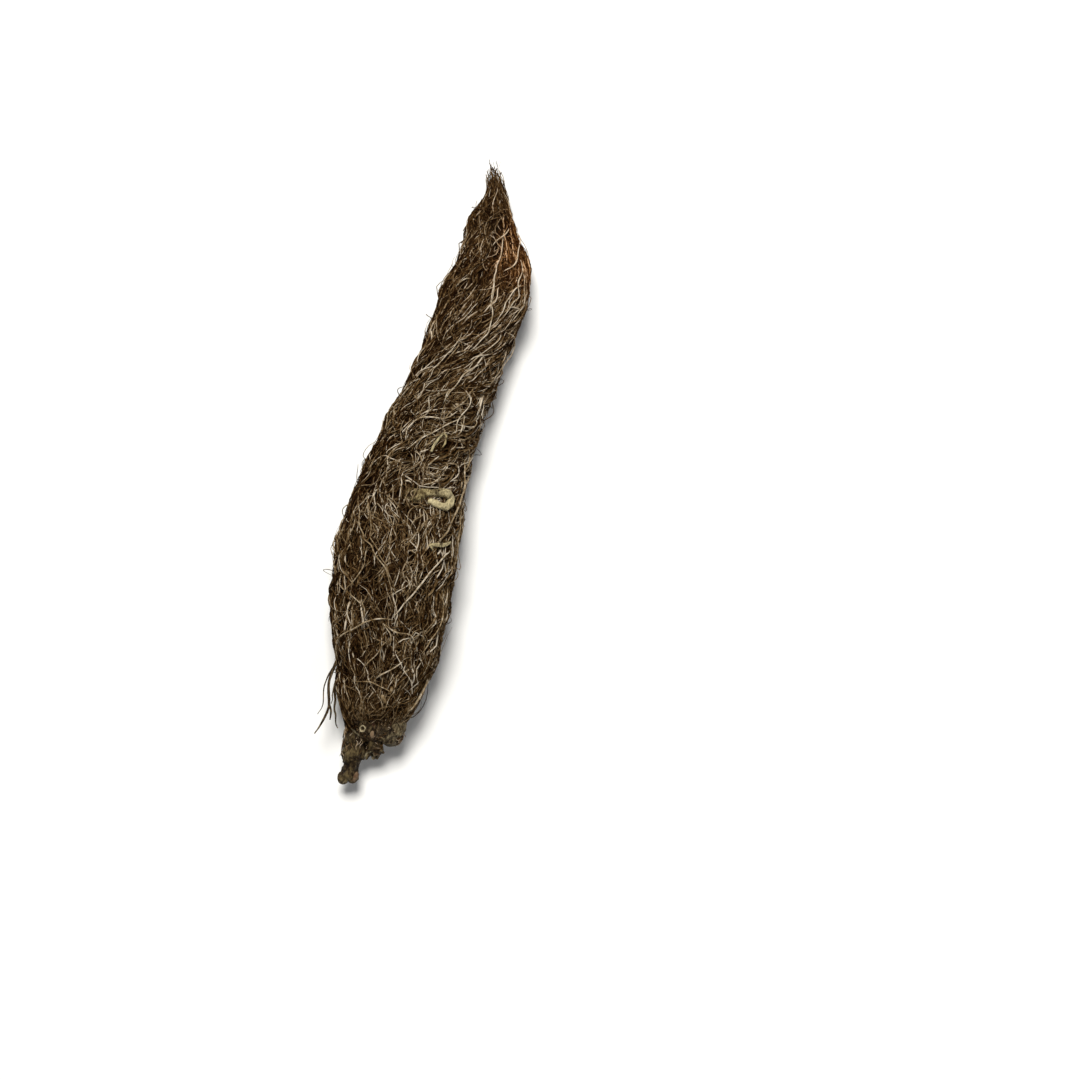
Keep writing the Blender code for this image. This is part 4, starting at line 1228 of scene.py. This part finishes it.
def build_crown_cover(rng, materials):
    """Short dark fibres and bark scales over the crown: they lie along each strand's skin.

    A fibre runs from one share of the strand to another with a slow sideways wave, lifting off
    at its lower end. A scale is a short flat leaf of bark.
    """
    steps = CROWN_FIBRE_STEPS
    rise = np.linspace(0.0, 1.0, steps)[None, :]
    leaf_run = np.linspace(-1.0, 1.0, SCALE_STEPS)[None, :]
    fibres, thin, outward, scales, widths, scale_outward = [], [], [], [], [], []
    for route, flat, count, span, turns in CROWN_COVER:
        start = rng.uniform(span[0], span[1] - 0.1, (count, 1))
        share = start + rng.uniform(0.08, 0.26, (count, 1)) * rise
        lengths = np.full(count, 4.0)
        around = rng.uniform(*turns, (count, 1)) + 0.12 * waves(rng, count, steps, 2.0, 5.0, lengths)
        around = around + rng.normal(0.0, 0.38, (count, 1)) * rise
        free = (1.0 - rise) ** 4 * rng.gamma(1.0, 0.10, (count, 1))
        lift = rng.uniform(-0.04, 0.20, (count, 1)) + free
        lift = lift + 0.04 * waves(rng, count, steps, 1.5, 5.0, lengths)
        fibres.append(on_strand(route, np.clip(share, 0.0, 1.0), around, lift, flat))
        thin.append(rng.uniform(*CROWN_FIBRE_RADII, (count, 1)) * (0.5 + 0.5 * rise ** 0.5))
        outward.append(outward_of(around))
        leaves = count // FIBRES_PER_SCALE
        middle = rng.uniform(*span, (leaves, 1))
        share = middle + rng.uniform(0.04, 0.09, (leaves, 1)) * leaf_run
        around = rng.uniform(*turns, (leaves, 1)) + rng.uniform(-0.1, 0.1, (leaves, 1)) * leaf_run
        lift = rng.uniform(0.0, 0.14, (leaves, 1)) - 0.08 * leaf_run
        scales.append(on_strand(route, np.clip(share, 0.0, 1.0), around, lift, flat))
        widths.append(rng.uniform(*SCALE_WIDTHS, (leaves, 1)) * (1.02 - np.abs(leaf_run) ** 2.5))
        scale_outward.append(outward_of(around))
    paths, radii = np.concatenate(fibres), np.concatenate(thin)
    tone = np.clip(rng.normal(0.52, 0.22, len(paths)), 0.02, 1.0)
    paler = rng.random(len(paths)) < PALE_CROWN_SHARE
    tone = np.where(paler, rng.uniform(0.70, 1.00, len(paths)), tone)
    values = {"tone": tone, "warmth": np.full(len(paths), 0.25)}
    outward = np.concatenate(outward)
    piece = strand_object("crown_fibres", paths, radii, outward, values, materials["fibre"])
    paths, radii, outward = np.concatenate(scales), np.concatenate(widths), np.concatenate(scale_outward)
    count = len(paths)
    values = {
        "pale": rng.uniform(0.0, 0.18, count), "red": rng.uniform(0.0, 0.3, count),
        "relief_shade_and_tone": rng.uniform(0.3, 0.8, count),
    }
    piece = strand_object(
        "crown_scales", paths, radii, outward, values, materials["bark"], sides=6, flat=0.3
    )


# Rootlets. Those on the coat are (across, along, lift, radius) with the lift above the coat's top;
# the hanging ones are (across, along, height, radius).
CURLED = [
    (-1.4, 49.0, -1.00, 1.10), (-0.6, 49.3, -0.75, 1.20), (0.75, 49.6, -0.30, 1.05), (1.9, 50.2, 0.08, 0.82),
    (3.1, 50.5, 0.38, 0.68), (4.4, 50.8, 0.45, 0.63), (5.4, 50.95, 0.50, 0.63), (6.05, 50.7, 0.50, 0.60),
    (6.35, 50.1, 0.50, 0.58), (6.3, 49.4, 0.48, 0.57), (5.85, 48.8, 0.45, 0.56), (5.1, 48.65, 0.45, 0.53),
    (4.3, 48.75, 0.45, 0.48), (3.5, 48.9, 0.46, 0.45), (2.75, 49.15, 0.48, 0.40),
]
FOLDED = [
    (1.4, 57.0, 0.42, 0.20), (1.7, 58.3, 0.52, 0.22), (2.2, 59.5, 0.62, 0.20), (2.8, 60.4, 0.66, 0.18),
    (3.4, 60.0, 0.62, 0.16), (3.4, 59.0, 0.54, 0.15), (3.1, 58.0, 0.44, 0.12),
]
HOOKED = [
    (5.5, 41.2, 0.35, 0.10), (5.15, 41.5, 0.45, 0.16), (4.85, 41.9, 0.55, 0.22), (5.6, 42.15, 0.60, 0.29),
    (6.8, 42.35, 0.60, 0.29), (7.5, 42.75, 0.50, 0.26), (7.95, 43.3, 0.30, 0.20),
]
LEFT_LONG = [
    (-4.2, 21.0, 6.4, 0.24), (-5.4, 19.2, 6.5, 0.26), (-5.95, 16.1, 6.3, 0.25),
    (-5.75, 14.0, 6.2, 0.24), (-5.3, 12.4, 6.1, 0.22), (-5.15, 11.0, 6.0, 0.20),
    (-5.55, 9.1, 5.9, 0.17), (-5.95, 7.9, 5.8, 0.13), (-6.45, 6.75, 5.7, 0.08),
]
LEFT_LONG_FORK = [(-5.25, 12.0, 6.05, 0.18), (-4.65, 10.9, 6.0, 0.15), (-4.5, 9.4, 5.9, 0.08)]
LEFT_LONG_HAIR = [
    (-4.6, 19.6, 6.0, 0.10), (-6.0, 17.5, 6.0, 0.12), (-6.6, 14.5, 5.9, 0.10),
    (-6.2, 11.6, 5.6, 0.07), (-6.7, 9.9, 5.4, 0.05),
]
LEFT_SHORT = [
    (-3.9, 20.0, 4.9, 0.20), (-4.9, 18.0, 4.9, 0.22), (-4.9, 14.4, 4.8, 0.20), (-4.5, 12.9, 4.7, 0.18),
    (-4.35, 11.5, 4.7, 0.15), (-3.9, 10.5, 4.6, 0.13), (-3.6, 9.25, 4.5, 0.10), (-3.1, 8.5, 4.4, 0.07),
]
LEFT_SHORT_HAIR = [
    (-4.0, 18.6, 5.6, 0.10), (-5.0, 16.2, 5.6, 0.11), (-5.1, 13.7, 5.4, 0.09),
    (-4.9, 12.8, 5.3, 0.07), (-5.0, 12.0, 5.2, 0.05),
]

# How pale each rootlet is, as one value or as shares of its length and the values there
CURLED_PALE = (
    (0.0, 0.10, 0.18, 0.30, 0.42, 0.60, 0.90, 1.0),
    (-0.34, -0.24, 0.02, 0.22, 0.50, 0.58, 0.62, 1.10),
)
FOLDED_PALE = ((0.0, 0.45, 0.62, 1.0), (0.66, 0.50, 0.20, 0.08))
HOOKED_PALE = 0.45
HANGING_PALE = 0.1
HANGING_HAIR_PALE = 0.2

# How rough the rootlets' bark is, and how many steps and sides a rootlet has
CURLED_ROUGH = 1.6
ROOTLET_ROUGH = 1.1
ROOTLET_STEPS = 90
ROOTLET_SIDES = 16


def resting(points):
    """Lays (across, along, lift, radius) points on the coat: each height is the coat's top plus the lift."""
    points = np.array(points, float)
    along, across = from_picture(points[:, 1], points[:, 0])
    top = on_coat(along, turn_at(along, across), 0.0)[:, 2]
    return np.stack([across, along, top + points[:, 2], points[:, 3]], -1)


def build_rootlet(rng, name, replaced, strands, material, rough=ROOTLET_ROUGH):
    """A rootlet's wrinkled bark in place of its plain solid. Each strand is a route and how pale it is.

    A paleness below 0 lowers the relief, which darkens the bark.
    """
    steps, sides = ROOTLET_STEPS, ROOTLET_SIDES
    paths, radii, pale, relief_shade_and_tone = [], [], [], []
    for route, paleness in strands:
        path, skin, height = bark_strand(rng, route, steps, sides, rough)
        paths.append(path)
        radii.append(skin)
        places, levels = paleness if isinstance(paleness, tuple) else ((0.0, 1.0), (paleness, paleness))
        pale.append(np.interp(np.linspace(0.0, 1.0, steps), places, levels))
        relief_shade_and_tone.append(height + np.minimum(pale[-1], 0.0)[:, None])
    paths, radii = np.array(paths), np.array(radii)
    upright = np.broadcast_to(np.array([0.0, 0.0, 1.0]), paths.shape)
    values = {"pale": np.array(pale), "red": np.zeros(len(pale)), "relief_shade_and_tone": np.array(relief_shade_and_tone)}
    piece = strand_object(name, paths, radii, upright, values, material, sides)
    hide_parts(replaced)


def build_rootlets(rng, materials):
    """All five rootlets. The curled one starts as a wide felted sheath and ends in a pale broken tip."""
    pale, dark = materials["pale_rootlet"], materials["dark_rootlet"]
    build_rootlet(
        rng, "curled_rootlet_bark", "curled_rootlet",
        [(resting(CURLED), CURLED_PALE)], pale, CURLED_ROUGH,
    )
    build_rootlet(
        rng, "folded_rootlet_bark", "folded_rootlet",
        [(resting(FOLDED), FOLDED_PALE)], pale,
    )
    build_rootlet(
        rng, "hooked_rootlet_bark", "hooked_rootlet",
        [(resting(HOOKED), HOOKED_PALE)], pale,
    )
    build_rootlet(
        rng, "left_rootlet_long_bark", "left_rootlet_long",
        [(LEFT_LONG, HANGING_PALE), (LEFT_LONG_FORK, HANGING_PALE), (LEFT_LONG_HAIR, HANGING_HAIR_PALE)],
        dark,
    )
    build_rootlet(
        rng, "left_rootlet_short_bark", "left_rootlet_short",
        [(LEFT_SHORT, HANGING_PALE), (LEFT_SHORT_HAIR, HANGING_HAIR_PALE)], dark,
    )


# Materials

def group_input(group, kind, name, value):
    """Adds a named input with its default value to a node group."""
    socket = group.interface.new_socket(name=name, in_out="INPUT", socket_type=kind)
    socket.default_value = value


def node(tree, kind, **settings):
    """Adds a node and sets its properties."""
    made = tree.nodes.new(kind)
    for key, value in settings.items():
        setattr(made, key, value)
    return made


def colour_ramp(tree, stops, factor):
    """Adds a colour ramp with the stops given as (place, colour)."""
    made = node(tree, "ShaderNodeValToRGB")
    ramp_data = made.color_ramp
    while len(ramp_data.elements) > 1:
        ramp_data.elements.remove(ramp_data.elements[-1])
    for index, (place, colour) in enumerate(stops):
        stop = ramp_data.elements[0] if index == 0 else ramp_data.elements.new(place)
        stop.position = place
        stop.color = (*colour, 1.0)
    tree.links.new(factor, made.inputs["Fac"])
    return made.outputs["Color"]


def math_node(tree, operation, first, second):
    """Adds a Math node fed by sockets or plain numbers."""
    made = node(tree, "ShaderNodeMath", operation=operation)
    for place, value in enumerate((first, second)):
        if isinstance(value, (int, float)):
            made.inputs[place].default_value = value
        else:
            tree.links.new(value, made.inputs[place])
    return made.outputs["Value"]


def swing(tree, value, amount):
    """A 0 to 1 value turned into a swing round zero, of a given size."""
    return math_node(tree, "MULTIPLY", math_node(tree, "SUBTRACT", value, 0.5), amount)


def rescale(tree, value, low, high, new_low=0.0, new_high=1.0):
    """Maps a range of a value to a new range, clamped."""
    made = node(tree, "ShaderNodeMapRange")
    for name, number in (("From Min", low), ("From Max", high), ("To Min", new_low), ("To Max", new_high)):
        made.inputs[name].default_value = number
    tree.links.new(value, made.inputs["Value"])
    return made.outputs["Result"]


def mix_colour(tree, factor, first, second, blend="MIX"):
    """Mixes two colours by a factor, each a socket or a plain value."""
    made = node(tree, "ShaderNodeMix", data_type="RGBA", blend_type=blend, clamp_factor=True)
    for name, value in (("Factor", factor), ("A", first), ("B", second)):
        target = [s for s in made.inputs if s.name == name and s.enabled][0]
        if isinstance(value, (int, float)):
            target.default_value = value
        elif isinstance(value, tuple):
            target.default_value = (*value, 1.0)
        else:
            tree.links.new(value, target)
    return [s for s in made.outputs if s.enabled][0]


def noise(tree, vector, scale, detail=3.0, roughness=0.55):
    """Adds a noise texture read at a vector."""
    made = node(tree, "ShaderNodeTexNoise")
    made.inputs["Scale"].default_value = scale
    made.inputs["Detail"].default_value = detail
    made.inputs["Roughness"].default_value = roughness
    tree.links.new(vector, made.inputs["Vector"])
    return made.outputs["Fac"]


def object_vector(tree):
    """The piece's own coordinates."""
    return node(tree, "ShaderNodeTexCoord").outputs["Object"]


def stretched_vector(tree, scale):
    """The piece's own coordinates, scaled along each axis so that a pattern on them is drawn out."""
    stretch = node(tree, "ShaderNodeMapping")
    stretch.inputs["Scale"].default_value = scale
    tree.links.new(object_vector(tree), stretch.inputs["Vector"])
    return stretch.outputs["Vector"]


def attribute(tree, name):
    """Reads a piece's own attribute."""
    return node(tree, "ShaderNodeAttribute", attribute_name=name).outputs["Fac"]


def add_bump(tree, shader, height, strength, distance):
    """Feeds a height into the shader's normal through a Bump node."""
    bumps = node(tree, "ShaderNodeBump")
    bumps.inputs["Strength"].default_value = strength
    bumps.inputs["Distance"].default_value = distance
    tree.links.new(height, bumps.inputs["Height"])
    tree.links.new(bumps.outputs["Normal"], shader.inputs["Normal"])


# The finer noise that breaks up the dust's blotches, and the two noises' product at which dust
# begins and is full
DUST_FINE_SCALE = 2600.0
DUST_SPAN = (0.22, 0.42)


def make_dust_group():
    """Shared effect: earth dust and stains, in blotches of two sizes, over a colour."""
    group = bpy.data.node_groups.new("earth_dust", "ShaderNodeTree")
    group_input(group, "NodeSocketColor", "Colour", (0.1, 0.06, 0.03, 1.0))
    group_input(group, "NodeSocketColor", "Dust", (0.2, 0.15, 0.09, 1.0))
    group_input(group, "NodeSocketFloat", "Amount", 0.3)
    group_input(group, "NodeSocketFloat", "Scale", 400.0)
    group.interface.new_socket(name="Colour", in_out="OUTPUT", socket_type="NodeSocketColor")
    given = node(group, "NodeGroupInput")
    result = node(group, "NodeGroupOutput")
    place = object_vector(group)
    coarse = node(group, "ShaderNodeTexNoise")
    coarse.inputs["Detail"].default_value = 4.0
    group.links.new(place, coarse.inputs["Vector"])
    group.links.new(given.outputs["Scale"], coarse.inputs["Scale"])
    fine = noise(group, place, DUST_FINE_SCALE, 2.0)
    both = math_node(group, "MULTIPLY", coarse.outputs["Fac"], fine)
    mask = math_node(group, "MULTIPLY", rescale(group, both, *DUST_SPAN), given.outputs["Amount"])
    colour = mix_colour(group, mask, given.outputs["Colour"], given.outputs["Dust"])
    group.links.new(colour, result.inputs["Colour"])
    return group


def use_group(tree, group, **inputs):
    """Places a node group and feeds its inputs by name with sockets or values."""
    made = node(tree, "ShaderNodeGroup", node_tree=group)
    for name, value in inputs.items():
        if hasattr(value, "is_output"):
            tree.links.new(value, made.inputs[name])
        else:
            made.inputs[name].default_value = value
    return made


def new_material(name):
    """Starts a Principled material and returns it with its tree and shader."""
    material = bpy.data.materials.new(name)
    material.use_nodes = True
    return material, material.node_tree, material.node_tree.nodes["Principled BSDF"]


# Tones are lists of (place, colour) from the darkest to the palest. Scales are in waves a metre.
# Dust is given by its inputs, a bump by its strength and its height in metres, and a roughness
# that follows a noise by its values at the noise's low and high end.
# The palest fibre tones are greyish: the fibres' own pale colour and a painted sheen, as the fibres have
# almost no shine of their own.
FIBRE_TONES = [
    (0.0, (0.0085, 0.0028, 0.0006)), (0.22, (0.031, 0.0137, 0.0038)), (0.45, (0.100, 0.0595, 0.0225)),
    (0.70, (0.25, 0.186, 0.108)), (1.0, (0.54, 0.475, 0.375)),
]
FIBRE_DUST = {"Dust": (0.13, 0.098, 0.046, 1.0), "Amount": 0.09, "Scale": 330.0}
FIBRE_ROUGHNESS = (0.42, 0.7)
FIBRE_SHINE = 0.02
# Fine noise over the fibres: tone variation and painted glints.
STREAK_GLINT_SCALE = 2300.0
STREAK_GLINT_SWING = 1.05
BLOTCH_SCALE = 200.0
BLOTCH_SWING = 0.22
WARM_TINT = (1.20, 0.84, 0.58)

# The felt's near-black tones are the dark inner fibre mass and painted shade in the deep gaps between the
# fibres.
FELT_SHADE_TONES = [
    (0.35, (0.007, 0.0030, 0.0010)), (0.55, (0.022, 0.011, 0.0042)), (0.75, (0.070, 0.041, 0.018)),
]
FELT_DUST = {"Dust": (0.035, 0.021, 0.008, 1.0), "Amount": 0.3, "Scale": 240.0}
FELT_BUMP = (0.8, 0.0003)
FELT_ROUGHNESS = 0.9
FELT_SHINE = 0.03
FELT_STRETCH = (1.0, 0.22, 1.0)
FELT_GRAIN_SCALE = 2600.0

OLIVE_TONES = [
    (0.34, (0.0080, 0.0034, 0.0010)), (0.50, (0.030, 0.0180, 0.0066)), (0.80, (0.132, 0.096, 0.042)),
]
OLIVE_PALE = (0.42, 0.35, 0.215)
OLIVE_RED = (0.125, 0.042, 0.019)
TAN_TONES = [
    (0.26, (0.026, 0.013, 0.004)), (0.44, (0.110, 0.079, 0.032)), (0.68, (0.38, 0.30, 0.145)),
]
TAN_PALE = (0.62, 0.53, 0.31)
TAN_RED = (0.22, 0.12, 0.06)
DARK_TONES = [
    (0.34, (0.013, 0.007, 0.0028)), (0.50, (0.050, 0.030, 0.0135)), (0.70, (0.15, 0.105, 0.052)),
]
DARK_PALE = (0.30, 0.24, 0.15)
DARK_RED = (0.12, 0.06, 0.03)
BARK_DUST = {"Dust": (0.14, 0.108, 0.052, 1.0), "Amount": 0.16, "Scale": 900.0}
BARK_BUMP = (0.9, 0.00035)
BARK_ROUGHNESS = (0.75, 0.45)
# How strongly the relief paints shade in pits and light on ridges.
RELIEF_SHADE_SWING = 0.42
BARK_STRETCH = (1.25, 0.50, 1.25)
BARK_COARSE_SCALE = 1000.0
BARK_FINE_SCALE = 2500.0


def fibre_material(dust):
    """Fibre: a tone for each fibre, fine noise that varies its tone and paints glints on it, a red warmth by
    place, and dust.
    """
    material, tree, shader = new_material("brown_fibre")
    place = object_vector(tree)
    streak_and_glint = noise(tree, place, STREAK_GLINT_SCALE, 3.0)
    blotch = noise(tree, place, BLOTCH_SCALE, 3.0)
    varied = math_node(tree, "ADD", attribute(tree, "tone"), swing(tree, streak_and_glint, STREAK_GLINT_SWING))
    varied = math_node(tree, "ADD", varied, swing(tree, blotch, BLOTCH_SWING))
    colour = colour_ramp(tree, FIBRE_TONES, varied)
    warm = mix_colour(tree, 1.0, colour, WARM_TINT, "MULTIPLY")
    warmed = mix_colour(tree, attribute(tree, "warmth"), colour, warm)
    dusted = use_group(tree, dust, Colour=warmed, **FIBRE_DUST)
    tree.links.new(dusted.outputs["Colour"], shader.inputs["Base Color"])
    tree.links.new(rescale(tree, streak_and_glint, 0.2, 0.8, *FIBRE_ROUGHNESS), shader.inputs["Roughness"])
    shader.inputs["Specular IOR Level"].default_value = FIBRE_SHINE
    return material


def felt_material(dust):
    """Felt under the fibres: nearly black brown, the dark inner fibre mass and painted shade in the gaps
    between the fibres, with fine fibrous grain and brown dust.
    """
    material, tree, shader = new_material("dark_felt")
    grain = noise(tree, stretched_vector(tree, FELT_STRETCH), FELT_GRAIN_SCALE, 4.0, 0.65)
    colour = colour_ramp(tree, FELT_SHADE_TONES, grain)
    dusted = use_group(tree, dust, Colour=colour, **FELT_DUST)
    tree.links.new(dusted.outputs["Colour"], shader.inputs["Base Color"])
    add_bump(tree, shader, grain, *FELT_BUMP)
    shader.inputs["Roughness"].default_value = FELT_ROUGHNESS
    shader.inputs["Specular IOR Level"].default_value = FELT_SHINE
    return material


def bark_material(name, dust, tones, pale, red, shine, contrast):
    """Bark: darker and paler grain by noise, painted shade in crevices and painted light on ridges by
    relief, with dust.

    Torn places are pale and young places red, both by attributes of the piece with noise at
    their edges. A higher contrast makes the fine grain's darks darker and its lights lighter.
    """
    material, tree, shader = new_material(name)
    coarse = noise(tree, object_vector(tree), BARK_COARSE_SCALE, 5.0, 0.65)
    fine = noise(tree, stretched_vector(tree, BARK_STRETCH), BARK_FINE_SCALE, 4.0, 0.65)
    both = math_node(tree, "ADD", math_node(tree, "MULTIPLY", coarse, 0.75), swing(tree, fine, contrast))
    both = math_node(tree, "ADD", both, 0.10)
    # Painted shade in the pits and painted light on the ridges, by the relief.
    carved = math_node(tree, "ADD", both, swing(tree, attribute(tree, "relief_shade_and_tone"), RELIEF_SHADE_SWING))
    colour = colour_ramp(tree, tones, carved)
    torn = math_node(tree, "ADD", attribute(tree, "pale"), swing(tree, both, 0.9))
    colour = mix_colour(tree, rescale(tree, torn, 0.12, 0.95), colour, pale)
    young = math_node(tree, "ADD", attribute(tree, "red"), swing(tree, coarse, 0.6))
    colour = mix_colour(tree, rescale(tree, young, 0.12, 0.9), colour, red)
    dusted = use_group(tree, dust, Colour=colour, **BARK_DUST)
    tree.links.new(dusted.outputs["Colour"], shader.inputs["Base Color"])
    tree.links.new(rescale(tree, fine, 0.3, 0.7, *BARK_ROUGHNESS), shader.inputs["Roughness"])
    add_bump(tree, shader, both, *BARK_BUMP)
    shader.inputs["Specular IOR Level"].default_value = shine
    return material


FLOOR_TONES = [(0.3, (0.82, 0.82, 0.81)), (0.7, (0.86, 0.86, 0.85))]
FLOOR_GRAIN_SCALE = 60.0
FLOOR_ROUGHNESS = 0.9
FLOOR_SHINE = 0.1


def floor_material():
    """Pale matt floor."""
    material, tree, shader = new_material("pale_floor")
    grain = noise(tree, object_vector(tree), FLOOR_GRAIN_SCALE, 2.0)
    tree.links.new(colour_ramp(tree, FLOOR_TONES, grain), shader.inputs["Base Color"])
    shader.inputs["Roughness"].default_value = FLOOR_ROUGHNESS
    shader.inputs["Specular IOR Level"].default_value = FLOOR_SHINE
    return material


def make_materials():
    """Every material of the root, by the name that the pieces ask for."""
    dust = make_dust_group()
    return {
        "fibre": fibre_material(dust),
        "felt": felt_material(dust),
        "bark": bark_material(
            "olive_bark", dust, OLIVE_TONES, OLIVE_PALE, OLIVE_RED, shine=0.10, contrast=1.1
        ),
        "pale_rootlet": bark_material(
            "tan_rootlet_bark", dust, TAN_TONES, TAN_PALE, TAN_RED, shine=0.12, contrast=1.5
        ),
        "dark_rootlet": bark_material(
            "dark_rootlet_bark", dust, DARK_TONES, DARK_PALE, DARK_RED, shine=0.1, contrast=1.2
        ),
    }


# Floor, light and camera

FLOOR_SIZE = 1500.0            # half the floor's width
WORLD_STRENGTH = 0.11
NEAR_LIMIT = 0.01              # how near to the camera things are still shown, in metres

# Name, place and target in metres, width in metres, power in watts, colour
LIGHTS = [
    ("key_light", (-0.15, 0.35, 0.85), (0.0, 0.0, 0.0), 0.42, 12.5, (1.0, 0.98, 0.94)),
    ("fill_light", (0.6, -0.3, 0.5), (0.0, 0.0, 0.0), 0.6, 1.6, (0.97, 0.98, 1.0)),
]


def build_floor(material):
    """The plain surface that the root lies on."""
    size = FLOOR_SIZE
    corners = [(-size, -size, 0.0), (size, -size, 0.0), (size, size, 0.0), (-size, size, 0.0)]
    mesh = bpy.data.meshes.new("floor")
    mesh.from_pydata([tuple(v * MM for v in c) for c in corners], [], [(0, 1, 2, 3)])
    mesh.materials.append(material)
    floor = bpy.data.objects.new("floor", mesh)
    show(floor)


def add_light(name, place, target, size, power, colour):
    """Adds a square soft light at a place in metres, aimed at a target."""
    lamp = bpy.data.lights.new(name, "AREA")
    lamp.shape = "SQUARE"
    lamp.size = size
    lamp.energy = power
    lamp.color = colour
    thing = bpy.data.objects.new(name, lamp)
    thing.location = place
    thing.rotation_mode = "QUATERNION"
    thing.rotation_quaternion = (Vector(target) - Vector(place)).to_track_quat("-Z", "Y")
    show(thing)


def build_studio():
    """Soft light from above the root's head end, a weaker fill, and an even pale surround."""
    for light in LIGHTS:
        add_light(*light)
    world = bpy.data.worlds.new("studio")
    world.use_nodes = True
    surround = world.node_tree.nodes["Background"]
    surround.inputs["Color"].default_value = (1.0, 1.0, 1.0, 1.0)
    surround.inputs["Strength"].default_value = WORLD_STRENGTH
    bpy.context.scene.world = world
    bpy.context.scene.view_settings.view_transform = "Standard"


def build_camera():
    """The camera, where aim_camera put it."""
    lens = bpy.data.cameras.new("camera")
    lens.lens = CAMERA_LENS
    lens.sensor_width = SENSOR
    lens.clip_start = NEAR_LIMIT
    camera = bpy.data.objects.new("camera", lens)
    camera.rotation_mode = "QUATERNION"
    camera.rotation_quaternion = CAMERA_TURN
    camera.location = CAMERA_PLACE * MM
    show(camera)
    bpy.context.scene.camera = camera


def main():
    """Builds the camera, light and floor, then every piece of the root.

    The wood has random numbers of its own, so a change to the coat leaves it as it is.
    """
    rng = np.random.default_rng(SEED)
    build_camera()
    build_studio()
    build_floor(floor_material())
    materials = make_materials()
    build_felt(materials["felt"])
    build_fibres(rng, materials)
    build_straps(rng, materials["fibre"])
    build_strands(rng, materials["fibre"])
    build_hairs(rng, materials["fibre"])
    build_wisps(rng, materials)
    wood_rng = np.random.default_rng(WOOD_SEED)
    build_rhizome(wood_rng, materials["bark"])
    build_crown_cover(wood_rng, materials)
    build_rootlets(wood_rng, materials)


main()
